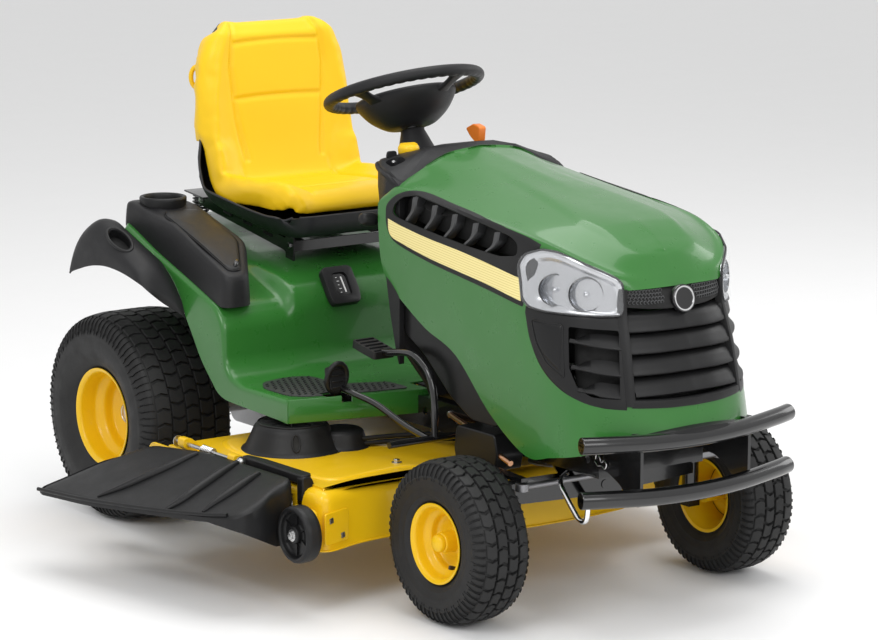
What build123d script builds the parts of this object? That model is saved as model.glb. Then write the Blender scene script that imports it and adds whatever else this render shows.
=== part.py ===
from build123d import *
import math
import os

# Riding lawn mower, millimetres.  Working axes: X = 0 is the machine's centre plane, Y = 0 the rear
# axle, Z = 0 the ground.  The machine faces -Y and its discharge side is -X.  Every part is moved by
# ORIGIN_SHIFT on export, so that the model's origin is the bottom centre of its box.

# ---- driving dimensions -------------------------------------------------------------------------
WHEELBASE = 1243.0
REAR_TRACK_HALF = 432.0
REAR_TYRE_R = 254.0
REAR_TYRE_W = 250.0
REAR_RIM_R = 118.7
FRONT_TRACK_HALF = 381.0
FRONT_TYRE_R = 183.0
FRONT_TYRE_W = 144.0
FRONT_RIM_R = 88.0
KINGPIN_X = 282.0
RAIL_X = 148.0
RAIL_Z0 = 325.0
RAIL_Z1 = 395.0
RAIL_FRONT_Y = -1440.0
RAIL_REAR_Y = 195.0
AXLE_PIVOT_Z = 262.0
SHAFT_R = 9.5
SHAFT_FIT = 0.06
WHEEL_TILT = 20.0
WHEEL_CENTRE = (0.0, -510.0, 1070.0)
WHEEL_R = 180.0
PINION_DISTANCE = 782.0
SECTOR_Y = -885.0
SECTOR_Z0 = 331.0
DECK_Z0 = 138.0
DECK_Z1 = 272.0
DECK_WALL = 3.0
BLADE_R = 196.0
GAUGE_R = 64.0
GAUGE_W = 40.0
HOOD_PIVOT = (-1530.0, 500.0)
FLOOR_Z = 408.0
SHEET = 2.5
FENDER_X = 460.0
STEP_X = 262.0
SEAT_HALF = 229.0
BRACKET_SLOPE = 0.155
SEAT_PIVOT = (-250.0, 675.0)
CHUTE_HINGE = (-602.0, 286.0)
BUMPER_R = 19.0
BUMPER_Z = (429.0, 310.0)
CUP = (-372.0, -26.0)
CUP_R = 44.0
CENTRE_X = -96.0
CENTRE_Y = -683.0
ORIGIN_SHIFT = (-CENTRE_X, -CENTRE_Y, 0.0)

SPINDLES = {"right": (-388.0, -650.0), "centre": (11.0, -780.0), "left": (410.0, -650.0)}
COVER_STEP = (88.0, -35.0)
GAUGES = {
    "front_right": (-641.0, -1010.0, 186.0),
    "rear_right": (-622.0, -300.0, 170.0),
    "front_left": (664.0, -1010.0, 186.0),
    "rear_left": (650.0, -300.0, 170.0),
}

os.makedirs("parts", exist_ok=True)


# ---- helpers ------------------------------------------------------------------------------------
def block(x0, x1, y0, y1, z0, z1):
    """A box from its low and high limits."""
    centre = Pos((x0 + x1) / 2, (y0 + y1) / 2, (z0 + z1) / 2)
    return centre * Box(x1 - x0, y1 - y0, z1 - z0)


def rod(start, end, radius):
    """A round bar between two points."""
    a = Vector(*start)
    b = Vector(*end)
    way = b - a
    return Plane(origin=a, z_dir=way) * Cylinder(
        radius, way.length, align=(Align.CENTER, Align.CENTER, Align.MIN)
    )


def prism_x(points, x0, x1):
    """An outline of (y, z) points, extruded from x0 to x1."""
    face = make_face(Polyline(*[(0, y, z) for y, z in points], close=True))
    return Pos(x0, 0, 0) * extrude(face, x1 - x0, dir=(1, 0, 0))


def prism_y(points, y0, y1):
    """An outline of (x, z) points, extruded from y0 to y1."""
    face = make_face(Polyline(*[(x, 0, z) for x, z in points], close=True))
    return Pos(0, y0, 0) * extrude(face, y1 - y0, dir=(0, 1, 0))


def prism_z(points, z0, z1):
    """An outline of (x, y) points, extruded from z0 to z1."""
    face = make_face(Polyline(*[(x, y, 0) for x, y in points], close=True))
    return Pos(0, 0, z0) * extrude(face, z1 - z0, dir=(0, 0, 1))


def strip(points, thickness):
    """The outline of a sheet that follows a line of points, thickness to its right."""
    count = len(points)
    inner = []
    for i, (u, v) in enumerate(points):
        before = points[max(i - 1, 0)]
        after = points[min(i + 1, count - 1)]
        normals = []
        for p, q in ((before, (u, v)), ((u, v), after)):
            length = math.hypot(q[0] - p[0], q[1] - p[1])
            if length > 0:
                normals.append(((q[1] - p[1]) / length, -(q[0] - p[0]) / length))
        nx = sum(n[0] for n in normals) / len(normals)
        ny = sum(n[1] for n in normals) / len(normals)
        size = nx * nx + ny * ny
        inner.append((u + nx / size * thickness, v + ny / size * thickness))
    return points + inner[::-1]


def ring_x(outline, x_centre, side):
    """An outline of (outboard offset, radius) points, turned about the wheel's X axis."""
    face = make_face(Polyline(*[(x_centre + side * u, 0, r) for u, r in outline], close=True))
    return revolve(face, Axis.X, 360)


def at_axle(shape, y, z):
    """Moves a ring made about the X axis to its axle."""
    return Pos(0, y, z) * shape


def mirrored(shape):
    """The same shape on the other side of the centre plane."""
    return mirror(shape, Plane.YZ)


def save(name, *shapes):
    """Writes one node, moved to the model's origin."""
    moved = [Pos(*ORIGIN_SHIFT) * shape for shape in shapes]
    solids = [solid for shape in moved for solid in shape.solids()]
    whole = solids[0] if len(solids) == 1 else Compound(children=solids)
    whole.label = name
    export_step(whole, f"parts/{name}.step")


# ---- wheels -------------------------------------------------------------------------------------
def tyre_outline(radius, width, bead_half, bead_r, flange_r, wall):
    """A tyre's section: (offset from its middle, radius), a shell open to the rim."""
    half = width / 2
    rise = radius - flange_r
    outer = [
        (bead_half, bead_r),
        (bead_half, flange_r + 1),
        (half * 0.95, flange_r + 10),
        (half, flange_r + rise * 0.42),
        (half * 0.97, flange_r + rise * 0.66),
        (half * 0.86, radius - 11),
        (half * 0.70, radius - 3),
        (half * 0.40, radius),
    ]
    inner = [
        (bead_half - wall, bead_r),
        (bead_half - wall, flange_r + 4),
        (half - wall, flange_r + rise * 0.42),
        (half * 0.86 - wall, radius - 11 - wall),
        (half * 0.40, radius - wall - 3),
    ]
    ring = [(-u, r) for u, r in outer] + outer[::-1]
    return ring + inner + [(-u, r) for u, r in inner[::-1]]


def rear_rim(side):
    """A stepped steel rim with its hub, on the side +1 (left) or -1 (right)."""
    well = strip(
        [(-104, 118.7), (-103, 108), (-84, 104), (-62, 88), (40, 88), (60, 104), (103, 108), (104, 118.7)],
        -3.0,
    )
    disc = strip([(30, 89), (12, 70), (4, 48), (4, 26)], 4.0)
    hub = [(-52, SHAFT_R + 3.7), (-52, 27), (20, 27), (20, SHAFT_R + 3.7)]
    body = ring_x(well, side * REAR_TRACK_HALF, side)
    body = body + ring_x(disc, side * REAR_TRACK_HALF, side)
    body = body + ring_x(hub, side * REAR_TRACK_HALF, side)
    return at_axle(body, 0, REAR_TYRE_R)


def rear_axle(side):
    """The axle shaft, from inside the transaxle to the wheel's clip, with its end washer."""
    start = (side * 130, 0, REAR_TYRE_R)
    end = (side * (REAR_TRACK_HALF + 34), 0, REAR_TYRE_R)
    shaft = rod(start, end, SHAFT_R + 3.2)
    washer_x = side * (REAR_TRACK_HALF + 21)
    washer = rod((washer_x, 0, REAR_TYRE_R), (washer_x + side * 3, 0, REAR_TYRE_R), 22)
    return shaft + washer


def front_rim(side):
    """The small front rim with its bearing hub and domed cap."""
    well = strip(
        [(-60, 88), (-59, 79), (-44, 75), (-28, 62), (20, 62), (36, 75), (59, 79), (60, 88)], -2.5
    )
    disc = strip([(10, 63), (6, 46), (10, 30), (10, 16)], 3.0)
    hub = [(-60, SHAFT_R + SHAFT_FIT), (-60, 17), (44, 17), (44, SHAFT_R + SHAFT_FIT)]
    cap = [(44, 0.01), (44, 19), (56, 17), (64, 10), (66, 0.01)]
    x = side * FRONT_TRACK_HALF
    body = ring_x(well, x, side) + ring_x(disc, x, side) + ring_x(hub, x, side) + ring_x(cap, x, side)
    return at_axle(body, -WHEELBASE, FRONT_TYRE_R)


def tyre(side, track_half, outline, y, z):
    return at_axle(ring_x(outline, side * track_half, side), y, z)


def wheels():
    rear = tyre_outline(REAR_TYRE_R, REAR_TYRE_W, 99.9, 111.8, REAR_RIM_R + 3.4, 9.0)
    front = tyre_outline(FRONT_TYRE_R, FRONT_TYRE_W, 56.3, 82.2, FRONT_RIM_R + 2.8, 7.0)
    for side, name in ((1, "left"), (-1, "right")):
        save(f"rear_rim_{name}", rear_rim(side))
        save(f"rear_axle_{name}", rear_axle(side))
        save(f"rear_tyre_{name}", tyre(side, REAR_TRACK_HALF, rear, 0, REAR_TYRE_R))
        save(f"front_rim_{name}", front_rim(side))
        save(f"front_tyre_{name}", tyre(side, FRONT_TRACK_HALF, front, -WHEELBASE, FRONT_TYRE_R))


# ---- frame --------------------------------------------------------------------------------------
def frame_rail(side):
    """A C-section rail, open towards the middle, with its row of holes."""
    web = block(RAIL_X - 3, RAIL_X, RAIL_FRONT_Y, RAIL_REAR_Y, RAIL_Z0, RAIL_Z1)
    low = block(RAIL_X - 32, RAIL_X - 2, RAIL_FRONT_Y, RAIL_REAR_Y, RAIL_Z0, RAIL_Z0 + 3)
    high = block(RAIL_X - 32, RAIL_X - 2, RAIL_FRONT_Y, RAIL_REAR_Y, RAIL_Z1 - 3, RAIL_Z1)
    rail = web + low + high
    for y in range(-1400, 160, 120):
        rail = rail - rod((RAIL_X - 10, y, 362), (RAIL_X + 10, y, 362), 9)
    return rail if side > 0 else mirrored(rail)


def frame_crossmembers():
    """Plates between the rails: hitch plate, middle plate, sector plate, axle saddle, front plate."""
    inside = RAIL_X - 3.2
    hitch = block(-inside, inside, 160, 163, RAIL_Z0 + 3.2, RAIL_Z1 - 3.2)
    hitch = hitch + block(-60, 60, 160, 250, RAIL_Z0 + 3.2, RAIL_Z0 + 9.2)
    hitch = hitch - Pos(0, 228, RAIL_Z0) * Cylinder(9.5, 60)
    middle = block(-inside, inside, -700, -697, RAIL_Z0 + 3.2, RAIL_Z1 - 3.2)
    plate = block(-inside, inside, -930, -840, 372, 376)
    post = rod((0, SECTOR_Y, 322), (0, SECTOR_Y, 374), 10)
    sector_support = plate + post
    saddle = saddle_plates(inside)
    front = block(-inside, inside, RAIL_FRONT_Y, RAIL_FRONT_Y + 3, RAIL_Z0 + 3.2, RAIL_Z1 - 3.2)
    return [hitch, middle, sector_support, saddle, front]


def saddle_plates(inside):
    """Two plates that hang from the rails and carry the front axle's pivot pin."""
    shape = [(-inside, RAIL_Z1 - 3.2), (-inside, RAIL_Z0 + 3.2), (-110, RAIL_Z0 + 3.2), (-45, 236)]
    shape += [(-x, z) for x, z in shape[::-1]]
    back = prism_y(shape, -1211, -1206)
    front = prism_y(shape, -1280, -1275)
    pin = rod((0, -1282, AXLE_PIVOT_Z), (0, -1204, AXLE_PIVOT_Z), 10)
    return back + front + pin


def bumper():
    """Two bowed tubes on a pair of plates that bolt to the rails."""
    tubes = []
    for z in BUMPER_Z:
        path = ThreePointArc((-290, -1560, z + 10), (0, -1601, z), (290, -1560, z + 10))
        start = Plane(origin=path @ 0, z_dir=path % 0)
        bore = sweep(start * Circle(BUMPER_R - 2.5), path=path)
        tubes.append(sweep(start * Circle(BUMPER_R), path=path) - bore)
    plates = []
    for side in (1, -1):
        plate = prism_x([(-1578, 322), (-1582, 432), (-1556, 432), (-1440, 388), (-1440, 332)], 150, 155)
        plate = plate + block(146.5, 153, -1470, -1400, 332, 388)
        plate = plate - block(100, RAIL_X + 0.2, -1500, -1300, 300, 400)
        plate = plate - tube_space()
        plates.append(plate if side > 0 else mirrored(plate))
    whole = tubes[0] + tubes[1] + plates[0] + plates[1]
    return whole


def tube_space():
    """The inside of both bumper tubes, which the plates don't enter."""
    space = None
    for z in BUMPER_Z:
        path = ThreePointArc((-290, -1560, z + 10), (0, -1601, z), (290, -1560, z + 10))
        bore = sweep(Plane(origin=path @ 0, z_dir=path % 0) * Circle(BUMPER_R - 2.5), path=path)
        space = bore if space is None else space + bore
    return space


def transaxle():
    """The hydrostatic transaxle: case, axle housings and cooling fan, bored for its shafts."""
    case = block(-95, 95, -130, 110, 172, 318)
    case = fillet(case.edges().filter_by(Axis.X), 30)
    for side in (1, -1):
        case = case + rod((side * 90, 0, REAR_TYRE_R), (side * 300, 0, REAR_TYRE_R), 34)
        case = case + rod((side * 280, 0, REAR_TYRE_R), (side * 306, 0, REAR_TYRE_R), 42)
        case = case + block(side * 200 - 6, side * 200 + 6, -40, 40, 280, 326)
    case = case - rod((-320, 0, REAR_TYRE_R), (-124, 0, REAR_TYRE_R), SHAFT_R + 3.2 + SHAFT_FIT)
    case = case - rod((124, 0, REAR_TYRE_R), (320, 0, REAR_TYRE_R), SHAFT_R + 3.2 + SHAFT_FIT)
    return case


# ---- front axle and steering --------------------------------------------------------------------
def front_axle_beam():
    """The cast beam: a pivot boss in the middle and a kingpin boss at each end."""
    arm = [(-KINGPIN_X + 8, 292), (-60, 288), (60, 288), (KINGPIN_X - 8, 292), (KINGPIN_X - 8, 246)]
    arm += [(60, 236), (-60, 236), (-KINGPIN_X + 8, 246)]
    beam = prism_y(arm, -1262, -1224)
    beam = beam + rod((0, -1273, AXLE_PIVOT_Z), (0, -1213, AXLE_PIVOT_Z), 24)
    for side in (1, -1):
        beam = beam + rod((side * KINGPIN_X, -WHEELBASE, 214), (side * KINGPIN_X, -WHEELBASE, 316), 19)
    for side in (1, -1):
        low = (side * KINGPIN_X, -WHEELBASE, 200)
        beam = beam - rod(low, (side * KINGPIN_X, -WHEELBASE, 330), SHAFT_R + SHAFT_FIT)
    return beam - rod((0, -1290, AXLE_PIVOT_Z), (0, -1200, AXLE_PIVOT_Z), 10 + SHAFT_FIT)


def knuckle(side):
    """Kingpin, stub axle and steering arm in one forging."""
    x = side * KINGPIN_X
    pin = rod((x, -WHEELBASE, 205), (x, -WHEELBASE, 330), 9.5)
    foot = block(x - 16, x + 16, -WHEELBASE - 16, -WHEELBASE + 16, 166, 210)
    stub_x = side * (FRONT_TRACK_HALF + 42)
    stub = rod((x, -WHEELBASE, FRONT_TYRE_R), (stub_x, -WHEELBASE, FRONT_TYRE_R), SHAFT_R)
    arm = prism_z(
        [(x - 20, -1228), (x + 20, -1228), (x + 9, -1350), (x - 9, -1350)], 319, 327
    )
    return pin + foot + stub + arm


def tie_rod():
    """The rod between the two steering arms, under their ends, with an eye at each end."""
    bar = rod((-KINGPIN_X + 14, -1341, 306), (KINGPIN_X - 14, -1341, 306), 7)
    for side in (1, -1):
        bar = bar + rod((side * KINGPIN_X, -1341, 298), (side * KINGPIN_X, -1341, 314), 15)
    return bar


def gear_outline(teeth, pitch_r, depth, first, last, centre):
    """A toothed arc between two angles, in degrees, about a centre."""
    points = []
    step = 360.0 / teeth
    count = int(round((last - first) / step))
    for i in range(count):
        start = first + i * step
        for part, radius in ((0.0, -depth), (0.25, -depth), (0.4, depth), (0.6, depth), (0.75, -depth)):
            angle = math.radians(start + part * step)
            points.append(
                (
                    centre[0] + (pitch_r + radius) * math.cos(angle),
                    centre[1] + (pitch_r + radius) * math.sin(angle),
                )
            )
    return points


def sector_gear():
    """The steering sector: a toothed fan on a hub, with the drag link's arm at its left side."""
    fan = gear_outline(72, 86, 2.2, 30, 150, (0, SECTOR_Y))
    fan = fan + [(-22, SECTOR_Y - 12), (0, SECTOR_Y - 24), (22, SECTOR_Y - 12)]
    plate = prism_z(fan, SECTOR_Z0, SECTOR_Z0 + 7)
    arm = [(0, SECTOR_Y - 20), (0, SECTOR_Y + 16), (92, SECTOR_Y + 9), (92, SECTOR_Y - 9)]
    plate = plate + prism_z(arm, SECTOR_Z0, SECTOR_Z0 + 7)
    plate = plate + rod((0, SECTOR_Y, SECTOR_Z0), (0, SECTOR_Y, SECTOR_Z0 + 26), 20)
    return plate - rod((0, SECTOR_Y, 300), (0, SECTOR_Y, 372), 10 + SHAFT_FIT)


def steering_point(distance):
    """A point on the column's axis, at a distance below the steering wheel's plane."""
    tilt = math.radians(WHEEL_TILT)
    return (0, WHEEL_CENTRE[1] - distance * math.sin(tilt), WHEEL_CENTRE[2] - distance * math.cos(tilt))


def steering_shaft():
    """The column shaft, from the wheel's hub to the pinion beside the sector's teeth."""
    foot = steering_point(PINION_DISTANCE + 8)
    shaft = rod(foot, steering_point(60), 9.5)
    teeth = make_face(Polyline(*gear_outline(12, 13, 1.8, 0, 360, (0, 0)), close=True))
    way = Vector(*steering_point(0)) - Vector(*foot)
    pinion = Plane(origin=steering_point(PINION_DISTANCE + 5), z_dir=way) * extrude(teeth, 10)
    return shaft + pinion


def steering_wheel():
    """Grip rim, three spokes and the deep hub bowl."""
    rim = Torus(WHEEL_R, 14)
    outline = [(12, -92), (46, -92), (96, -52), (104, -34), (92, -30), (12, -40)]
    bowl = revolve(make_face(Polyline(*[(r, 0, z) for r, z in outline], close=True)), Axis.Z, 360)
    wheel = rim + bowl
    for angle in (61, 196, 285):
        spoke = prism_y([(80, -46), (92, -52), (176, -8), (176, 6), (166, 6)], -16, 16)
        wheel = wheel + Rot(0, 0, angle) * spoke
    tilted = Rot(-WHEEL_TILT, 0, 0) * wheel
    placed = Pos(*WHEEL_CENTRE) * tilted
    return placed - steering_shaft()


# ---- engine, tank, battery ----------------------------------------------------------------------
def engine_block():
    """Crankcase with two finned cylinders and the crankshaft's output end."""
    case = Pos(0, -1130, 470) * Cylinder(128, 140)
    for side in (1, -1):
        for i in range(6):
            case = case + block(side * 130 - 55, side * 130 + 55, -1300, -1200, 432 + i * 17, 440 + i * 17)
        case = case + block(side * 130 - 38, side * 130 + 38, -1285, -1180, 425, 530)
    case = case + block(-140, 140, -1290, -1010, 397, 412)
    return case + rod((0, -1100, 276), (0, -1100, 400), 12.7)


def engine_blower_housing():
    """The round fan shroud with its air screen on top of the engine."""
    drum = Pos(0, -1120, 590) * Cylinder(150, 96)
    drum = drum + Pos(0, -1120, 652) * Cylinder(96, 28)
    inner = Pos(0, -1120, 580) * Cylinder(144, 84)
    return drum - inner


def muffler():
    """The muffler can across the front of the engine, with its guard's outlet."""
    can = Pos(0, -1378, 446) * Rot(0, 90, 0) * Cylinder(44, 250)
    outlet = rod((-60, -1378, 420), (-60, -1468, 412), 17) - rod((-60, -1400, 417), (-60, -1480, 411), 14)
    return can + outlet


def crank_pulley():
    """The engine's lower pulley and clutch, on the crankshaft's output end."""
    outline = [(12.76, 280), (62, 280), (62, 284), (50, 291), (50, 297), (62, 304), (62, 308)]
    outline += [(56, 308), (56, 322), (12.76, 322)]
    face = make_face(Polyline(*[(r, 0, z) for r, z in outline], close=True))
    return Pos(0, -1100, 0) * revolve(face, Axis.Z, 360)


def fuel_tank():
    """The moulded tank under the seat, with its filler neck on the left."""
    tank = block(-280, 340, -410, -268, 432, 560)
    tank = fillet(tank.edges().filter_by(Axis.X), 14)
    neck = rod((300, -330, 552), (300, -330, 642), 22)
    hole = rod((300, -330, 520), (300, -330, 660), 18)
    cavity = block(-276, 336, -406, -272, 436, 556)
    return (tank + neck) - cavity - hole


def fuel_cap():
    """The screw cap: skirt and knurled top over the filler neck."""
    cap = Pos(300, -330, 642) * Cylinder(32, 34) - Pos(300, -330, 633) * Cylinder(22.4, 32)
    for i in range(16):
        angle = math.radians(i * 22.5)
        groove = Pos(300 + 33 * math.cos(angle), -330 + 33 * math.sin(angle), 642) * Cylinder(2.5, 40)
        cap = cap - groove
    return cap


def battery():
    """The starting battery in its tray, behind the seat's centre."""
    case = block(-95, 95, 10, 140, 420, 560) + block(-98, 98, 7, 143, 540, 552)
    for side in (1, -1):
        case = case + Pos(side * 68, 40, 566) * Cylinder(9, 14)
    tray = block(-140, 140, 0, 150, RAIL_Z1 + 0.4, RAIL_Z1 + 4)
    return case + tray + block(-100, 100, 8, 142, RAIL_Z1 + 3, 421)


# ---- body ---------------------------------------------------------------------------------------
def fender_line(outer):
    """The fender's top line in side view: the outer strips stand higher than the seat platform."""
    front = [(-745, FLOOR_Z), (-500, FLOOR_Z), (-455, 420), (-430, 450), (-424, 540), (-395, 578)]
    front = front + [(-340, 598)]
    if outer:
        return front + [(-240, 632), (-120, 670), (0, 716), (60, 735), (200, 735), (222, 722), (226, 640)]
    return front + [(-240, 622), (-120, 645), (0, 668), (100, 686), (170, 694), (210, 694), (226, 640)]


def fender_deck():
    """The pressed steel body: seat platform, wheel arches, seat riser and foot rests."""
    skin = prism_x(strip(fender_line(False), SHEET), -STEP_X, STEP_X)
    outer = prism_x(strip(fender_line(True), SHEET), STEP_X - SHEET, FENDER_X)
    step = fender_line(True)[7:13] + fender_line(False)[7:12][::-1]
    outer = outer + prism_x(step, STEP_X - SHEET, STEP_X)
    edge = [(-450, 418), (-426, 450), (-421, 540), (-392, 575), (-337, 595), (-237, 629), (-117, 667)]
    edge += [(3, 713), (60, 732), (200, 732), (222, 713), (222, 690), (160, 690), (40, 704)]
    edge += [(-100, 660), (-240, 590), (-330, 500), (-385, 440), (-420, 406)]
    outer = outer + prism_x(edge, FENDER_X - SHEET, FENDER_X)
    skin = skin + outer + mirrored(outer)
    lip_points = [(-745, FLOOR_Z), (-745, 350), (-742.5, 350), (-742.5, FLOOR_Z)]
    skin = skin + prism_x(lip_points, -FENDER_X, FENDER_X)
    lip = prism_x(
        [(-745, FLOOR_Z), (-745, 346), (-505, 372), (-455, 420), (-500, FLOOR_Z)], FENDER_X - SHEET, FENDER_X
    )
    skin = skin + lip + mirrored(lip)
    corner = prism_z([(330, -760), (480, -760), (480, -630)], 300, FLOOR_Z + 20)
    tail = prism_z([(480, -10), (200, 235), (480, 235)], 560, 800)
    skin = skin - corner - mirrored(corner) - tail - mirrored(tail)
    slant = prism_z([(330, -745), (460, -643), (457.6, -641.4), (328, -742.6)], 348, FLOOR_Z)
    skin = skin + slant + mirrored(slant)
    skin = skin - block(-118, 118, -760, -700, 330, FLOOR_Z + 20)
    skin = skin - block(-RAIL_X - 4, RAIL_X + 4, -760, -700, 330, RAIL_Z1 + 2)
    skin = skin - block(388, 412, -190, 60, 560, 800)
    skin = skin - block(-344, -326, -750, -716, 396, 420)
    skin = skin - rod((300, -330, 560), (300, -330, 700), 23)
    return skin


def flare_line():
    """The rear flare's side line, from the front foot over the tyre to the tail."""
    front = [(-424, 566), (-372, 656), (-300, 712), (-215, 746), (-130, 757), (-40, 750)]
    return front + [(30, 712), (80, 660), (120, 598)]


def fender_flares():
    """The two moulded flares over the rear tyres, each with its hand hole."""
    flare = prism_x(strip(flare_line(), 4.0), FENDER_X + 0.4, 557)
    hole = Pos(505, -10, 738) * Rot(-28, 0, 0) * extrude(SlotOverall(90, 34, rotation=90), 60, both=True)
    flare = flare - hole
    return [flare, mirrored(flare)]


def box_plan(inset):
    """The storage box in plan, widening towards the back."""
    plan = [(-444, -420), (-388, -420), (-306, -290), (-300, -60), (-300, 46), (-444, 46)]
    return [(x + (inset if x < -400 else -inset), y + (inset if y < -100 else -inset)) for x, y in plan]


def storage_box():
    """The moulded box on the right fender, open at its top, with the cup holder behind it."""
    base = [(-420, 588), (-395, 600), (-340, 620), (-240, 648), (-120, 686), (0, 732), (46, 752)]
    top = [(46, 772), (0, 772), (-60, 766), (-170, 742), (-290, 700), (-380, 656), (-420, 634)]
    outer = prism_x(base + top, -444, -300) & prism_z(box_plan(0), 500, 800)
    inner_base = [(-412, 598), (-392, 609), (-338, 629), (-238, 657), (-118, 695), (-96, 703)]
    inner_top = [(-96, 790), (-170, 790), (-412, 720)]
    inner = prism_x(inner_base + inner_top, -440, -304) & prism_z(box_plan(5), 500, 800)
    cup = (Pos(CUP[0], CUP[1], 764) * Cylinder(58, 48)) - fender_top_space()
    return (outer - inner) + cup - Pos(CUP[0], CUP[1], 778) * Cylinder(CUP_R, 56)


def fender_top_space():
    """What lies under the fender's outer top strip, so that nothing passes through it."""
    line = fender_line(True)[7:12]
    return prism_x([(y, z + 0.4) for y, z in line] + [(200, 560), (-240, 560)], -480, -250)


def lid_line():
    return [(-424, 633), (-380, 659.5), (-290, 703.5), (-170, 745.5), (-98, 760.5)]


def storage_lid():
    """The curved lid of the storage box, with a finger notch at its front edge."""
    lid = prism_x(strip(lid_line(), -4.0), -443, -301) & prism_z(box_plan(1), 500, 800)
    notch = Pos(-405, -424, 640) * Cylinder(16, 60)
    return lid - notch


def dash_outline():
    """The dash in plan: flat against the hood, bowed towards the driver."""
    half = [(236, -822), (238, -770), (214, -700), (160, -640), (90, -604), (0, -592)]
    return half + [(-x, y) for x, y in half[-2::-1]]


def dash_tower():
    """The black dash and tower with the steering column's cover, hollow and open below."""
    side_line = [(-822, 906), (-780, 926), (-700, 938), (-600, 930), (-588, 905), (-600, 850)]
    side_line += [(-690, 700), (-742, 560), (-790, 412), (-822, 412)]
    body = prism_x(side_line, -240, 240) & prism_z(dash_outline(), 300, 960)
    inner_line = [(-818, 900), (-780, 920), (-700, 932), (-606, 924), (-596, 903), (-608, 852)]
    inner_line += [(-697, 702), (-749, 562), (-797, 400), (-818, 400)]
    inner_plan = [(x * 0.975, -822 + (y + 822) * 0.96 + 2) for x, y in dash_outline()]
    body = body - (prism_x(inner_line, -234, 234) & prism_z(inner_plan, 300, 960))
    low = steering_point(190)
    high = steering_point(99)
    tilt_plane = Plane(origin=low, z_dir=Vector(*high) - Vector(*low))
    cone = tilt_plane * Cone(62, 27, 91, align=(Align.CENTER, Align.CENTER, Align.MIN))
    cone = cone - (tilt_plane * Cone(59, 24, 91.2, align=(Align.CENTER, Align.CENTER, Align.MIN)))
    keep = prism_z([(-100, -700), (100, -700), (100, -450), (-100, -450)], 926, 1000)
    body = body + (cone & keep)
    bore = rod(steering_point(300), steering_point(90), 12)
    body = body - bore - rod((-110, -640, 880), (-110, -640, 980), 7)
    body = body - rod((-172, -700, 880), (-172, -700, 980), 9)
    body = body - block(96, 108, -720, -610, 900, 980)
    return body - block(-245, -225, -812, -760, 760, 880)


# ---- hood ---------------------------------------------------------------------------------------
HOOD_STATIONS = [
    # y, half width at the side, height of the centre, height of the shoulder, lowest edge
    (-826, 246, 968, 900, 640),
    (-996, 249, 938, 872, 458),
    (-1150, 250, 908, 850, 371),
    (-1300, 250, 880, 824, 366),
    (-1400, 240, 862, 800, 384),
    (-1470, 205, 830, 780, 400),
    (-1526, 156, 764, 738, 442),
    (-1574, 128, 706, 684, 458),
]


def hood_section(station, inset, y_shift=0.0):
    """One cross-section of the hood, with every point moved inwards by inset."""
    y, half, top, shoulder, low = station
    half = half - inset
    top = top - inset
    shoulder = shoulder - inset
    right = [(half * 0.97, low), (half, (low + shoulder) / 2), (half * 0.97, shoulder - 30)]
    rise = top - shoulder
    right += [(half * 0.86, shoulder + rise * 0.25), (half * 0.5, shoulder + rise * 0.8)]
    points = right + [(0, top)] + [(-x, z) for x, z in right[::-1]]
    return Polyline(*[(x, y + y_shift, z) for x, z in points], close=True)


def hood_solid(inset):
    """The hood's solid form, by straight lofts between its stations."""
    whole = None
    for first, last in zip(HOOD_STATIONS[:-1], HOOD_STATIONS[1:]):
        faces = [make_face(hood_section(first, inset)), make_face(hood_section(last, inset))]
        piece = loft(faces, ruled=True)
        whole = piece if whole is None else whole + piece
    return whole


def grille_space():
    return block(-132, 132, -1700, -1440, 512, 752)


def lamp_space(side):
    space = prism_y([(134, 690), (134, 752), (176, 790), (262, 816), (262, 700)], -1620, -1352)
    return space if side > 0 else mirrored(space)


def vent_space(side):
    outline = [(-845, 806), (-880, 884), (-1330, 832), (-1345, 712), (-1250, 722), (-900, 800)]
    space = prism_x(outline, 214, 262)
    return space if side > 0 else mirrored(space)


def side_grille_space(side):
    space = prism_y([(134, 512), (134, 684), (258, 684), (250, 600), (200, 530)], -1620, -1372)
    return space if side > 0 else mirrored(space)


def hood_inner():
    """The space inside the hood, open below and behind."""
    core = hood_solid(4.0)
    low = block(-238, 238, -1470, -820, 300, 520)
    trimmed = core & block(-300, 300, -1568, -800, 300, 1000)
    return trimmed + (low & hood_solid(6.0)) + block(-230, 230, -1500, -780, 340, 470)


def hood_shell(outer, inner):
    """The green hood with its openings for grille, lamps and vents, and its two hinge arms."""
    shell = outer - inner
    for side in (1, -1):
        shell = shell - vent_space(side) - lamp_space(side) - side_grille_space(side)
    shell = shell - grille_space()
    shell = shell - block(-300, 300, -1700, -780, 300, 372)
    keep = [solid for solid in shell.solids() if solid.volume > 20000]
    shell = keep[0]
    for extra in keep[1:]:
        shell = shell + extra
    return shell


def hood_grille(outer):
    """The black grille: frame and louvres across the nose."""
    frame = block(-131.6, 131.6, -1580, -1556, 512.4, 751.6) & outer
    hole = block(-120, 120, -1700, -1400, 522, 700)
    grille = frame - hole
    for i in range(4):
        z = 529 + i * 42
        blade = prism_x([(-1573.5, z), (-1573.5, z + 6), (-1550, z + 26), (-1550, z + 20)], -122, 122)
        grille = grille + blade
    return grille


def side_grille(outer, inner, side):
    """The black panel below each lamp, closed behind."""
    panel = (outer - inner) & side_grille_space(side)
    return largest(panel)


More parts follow.
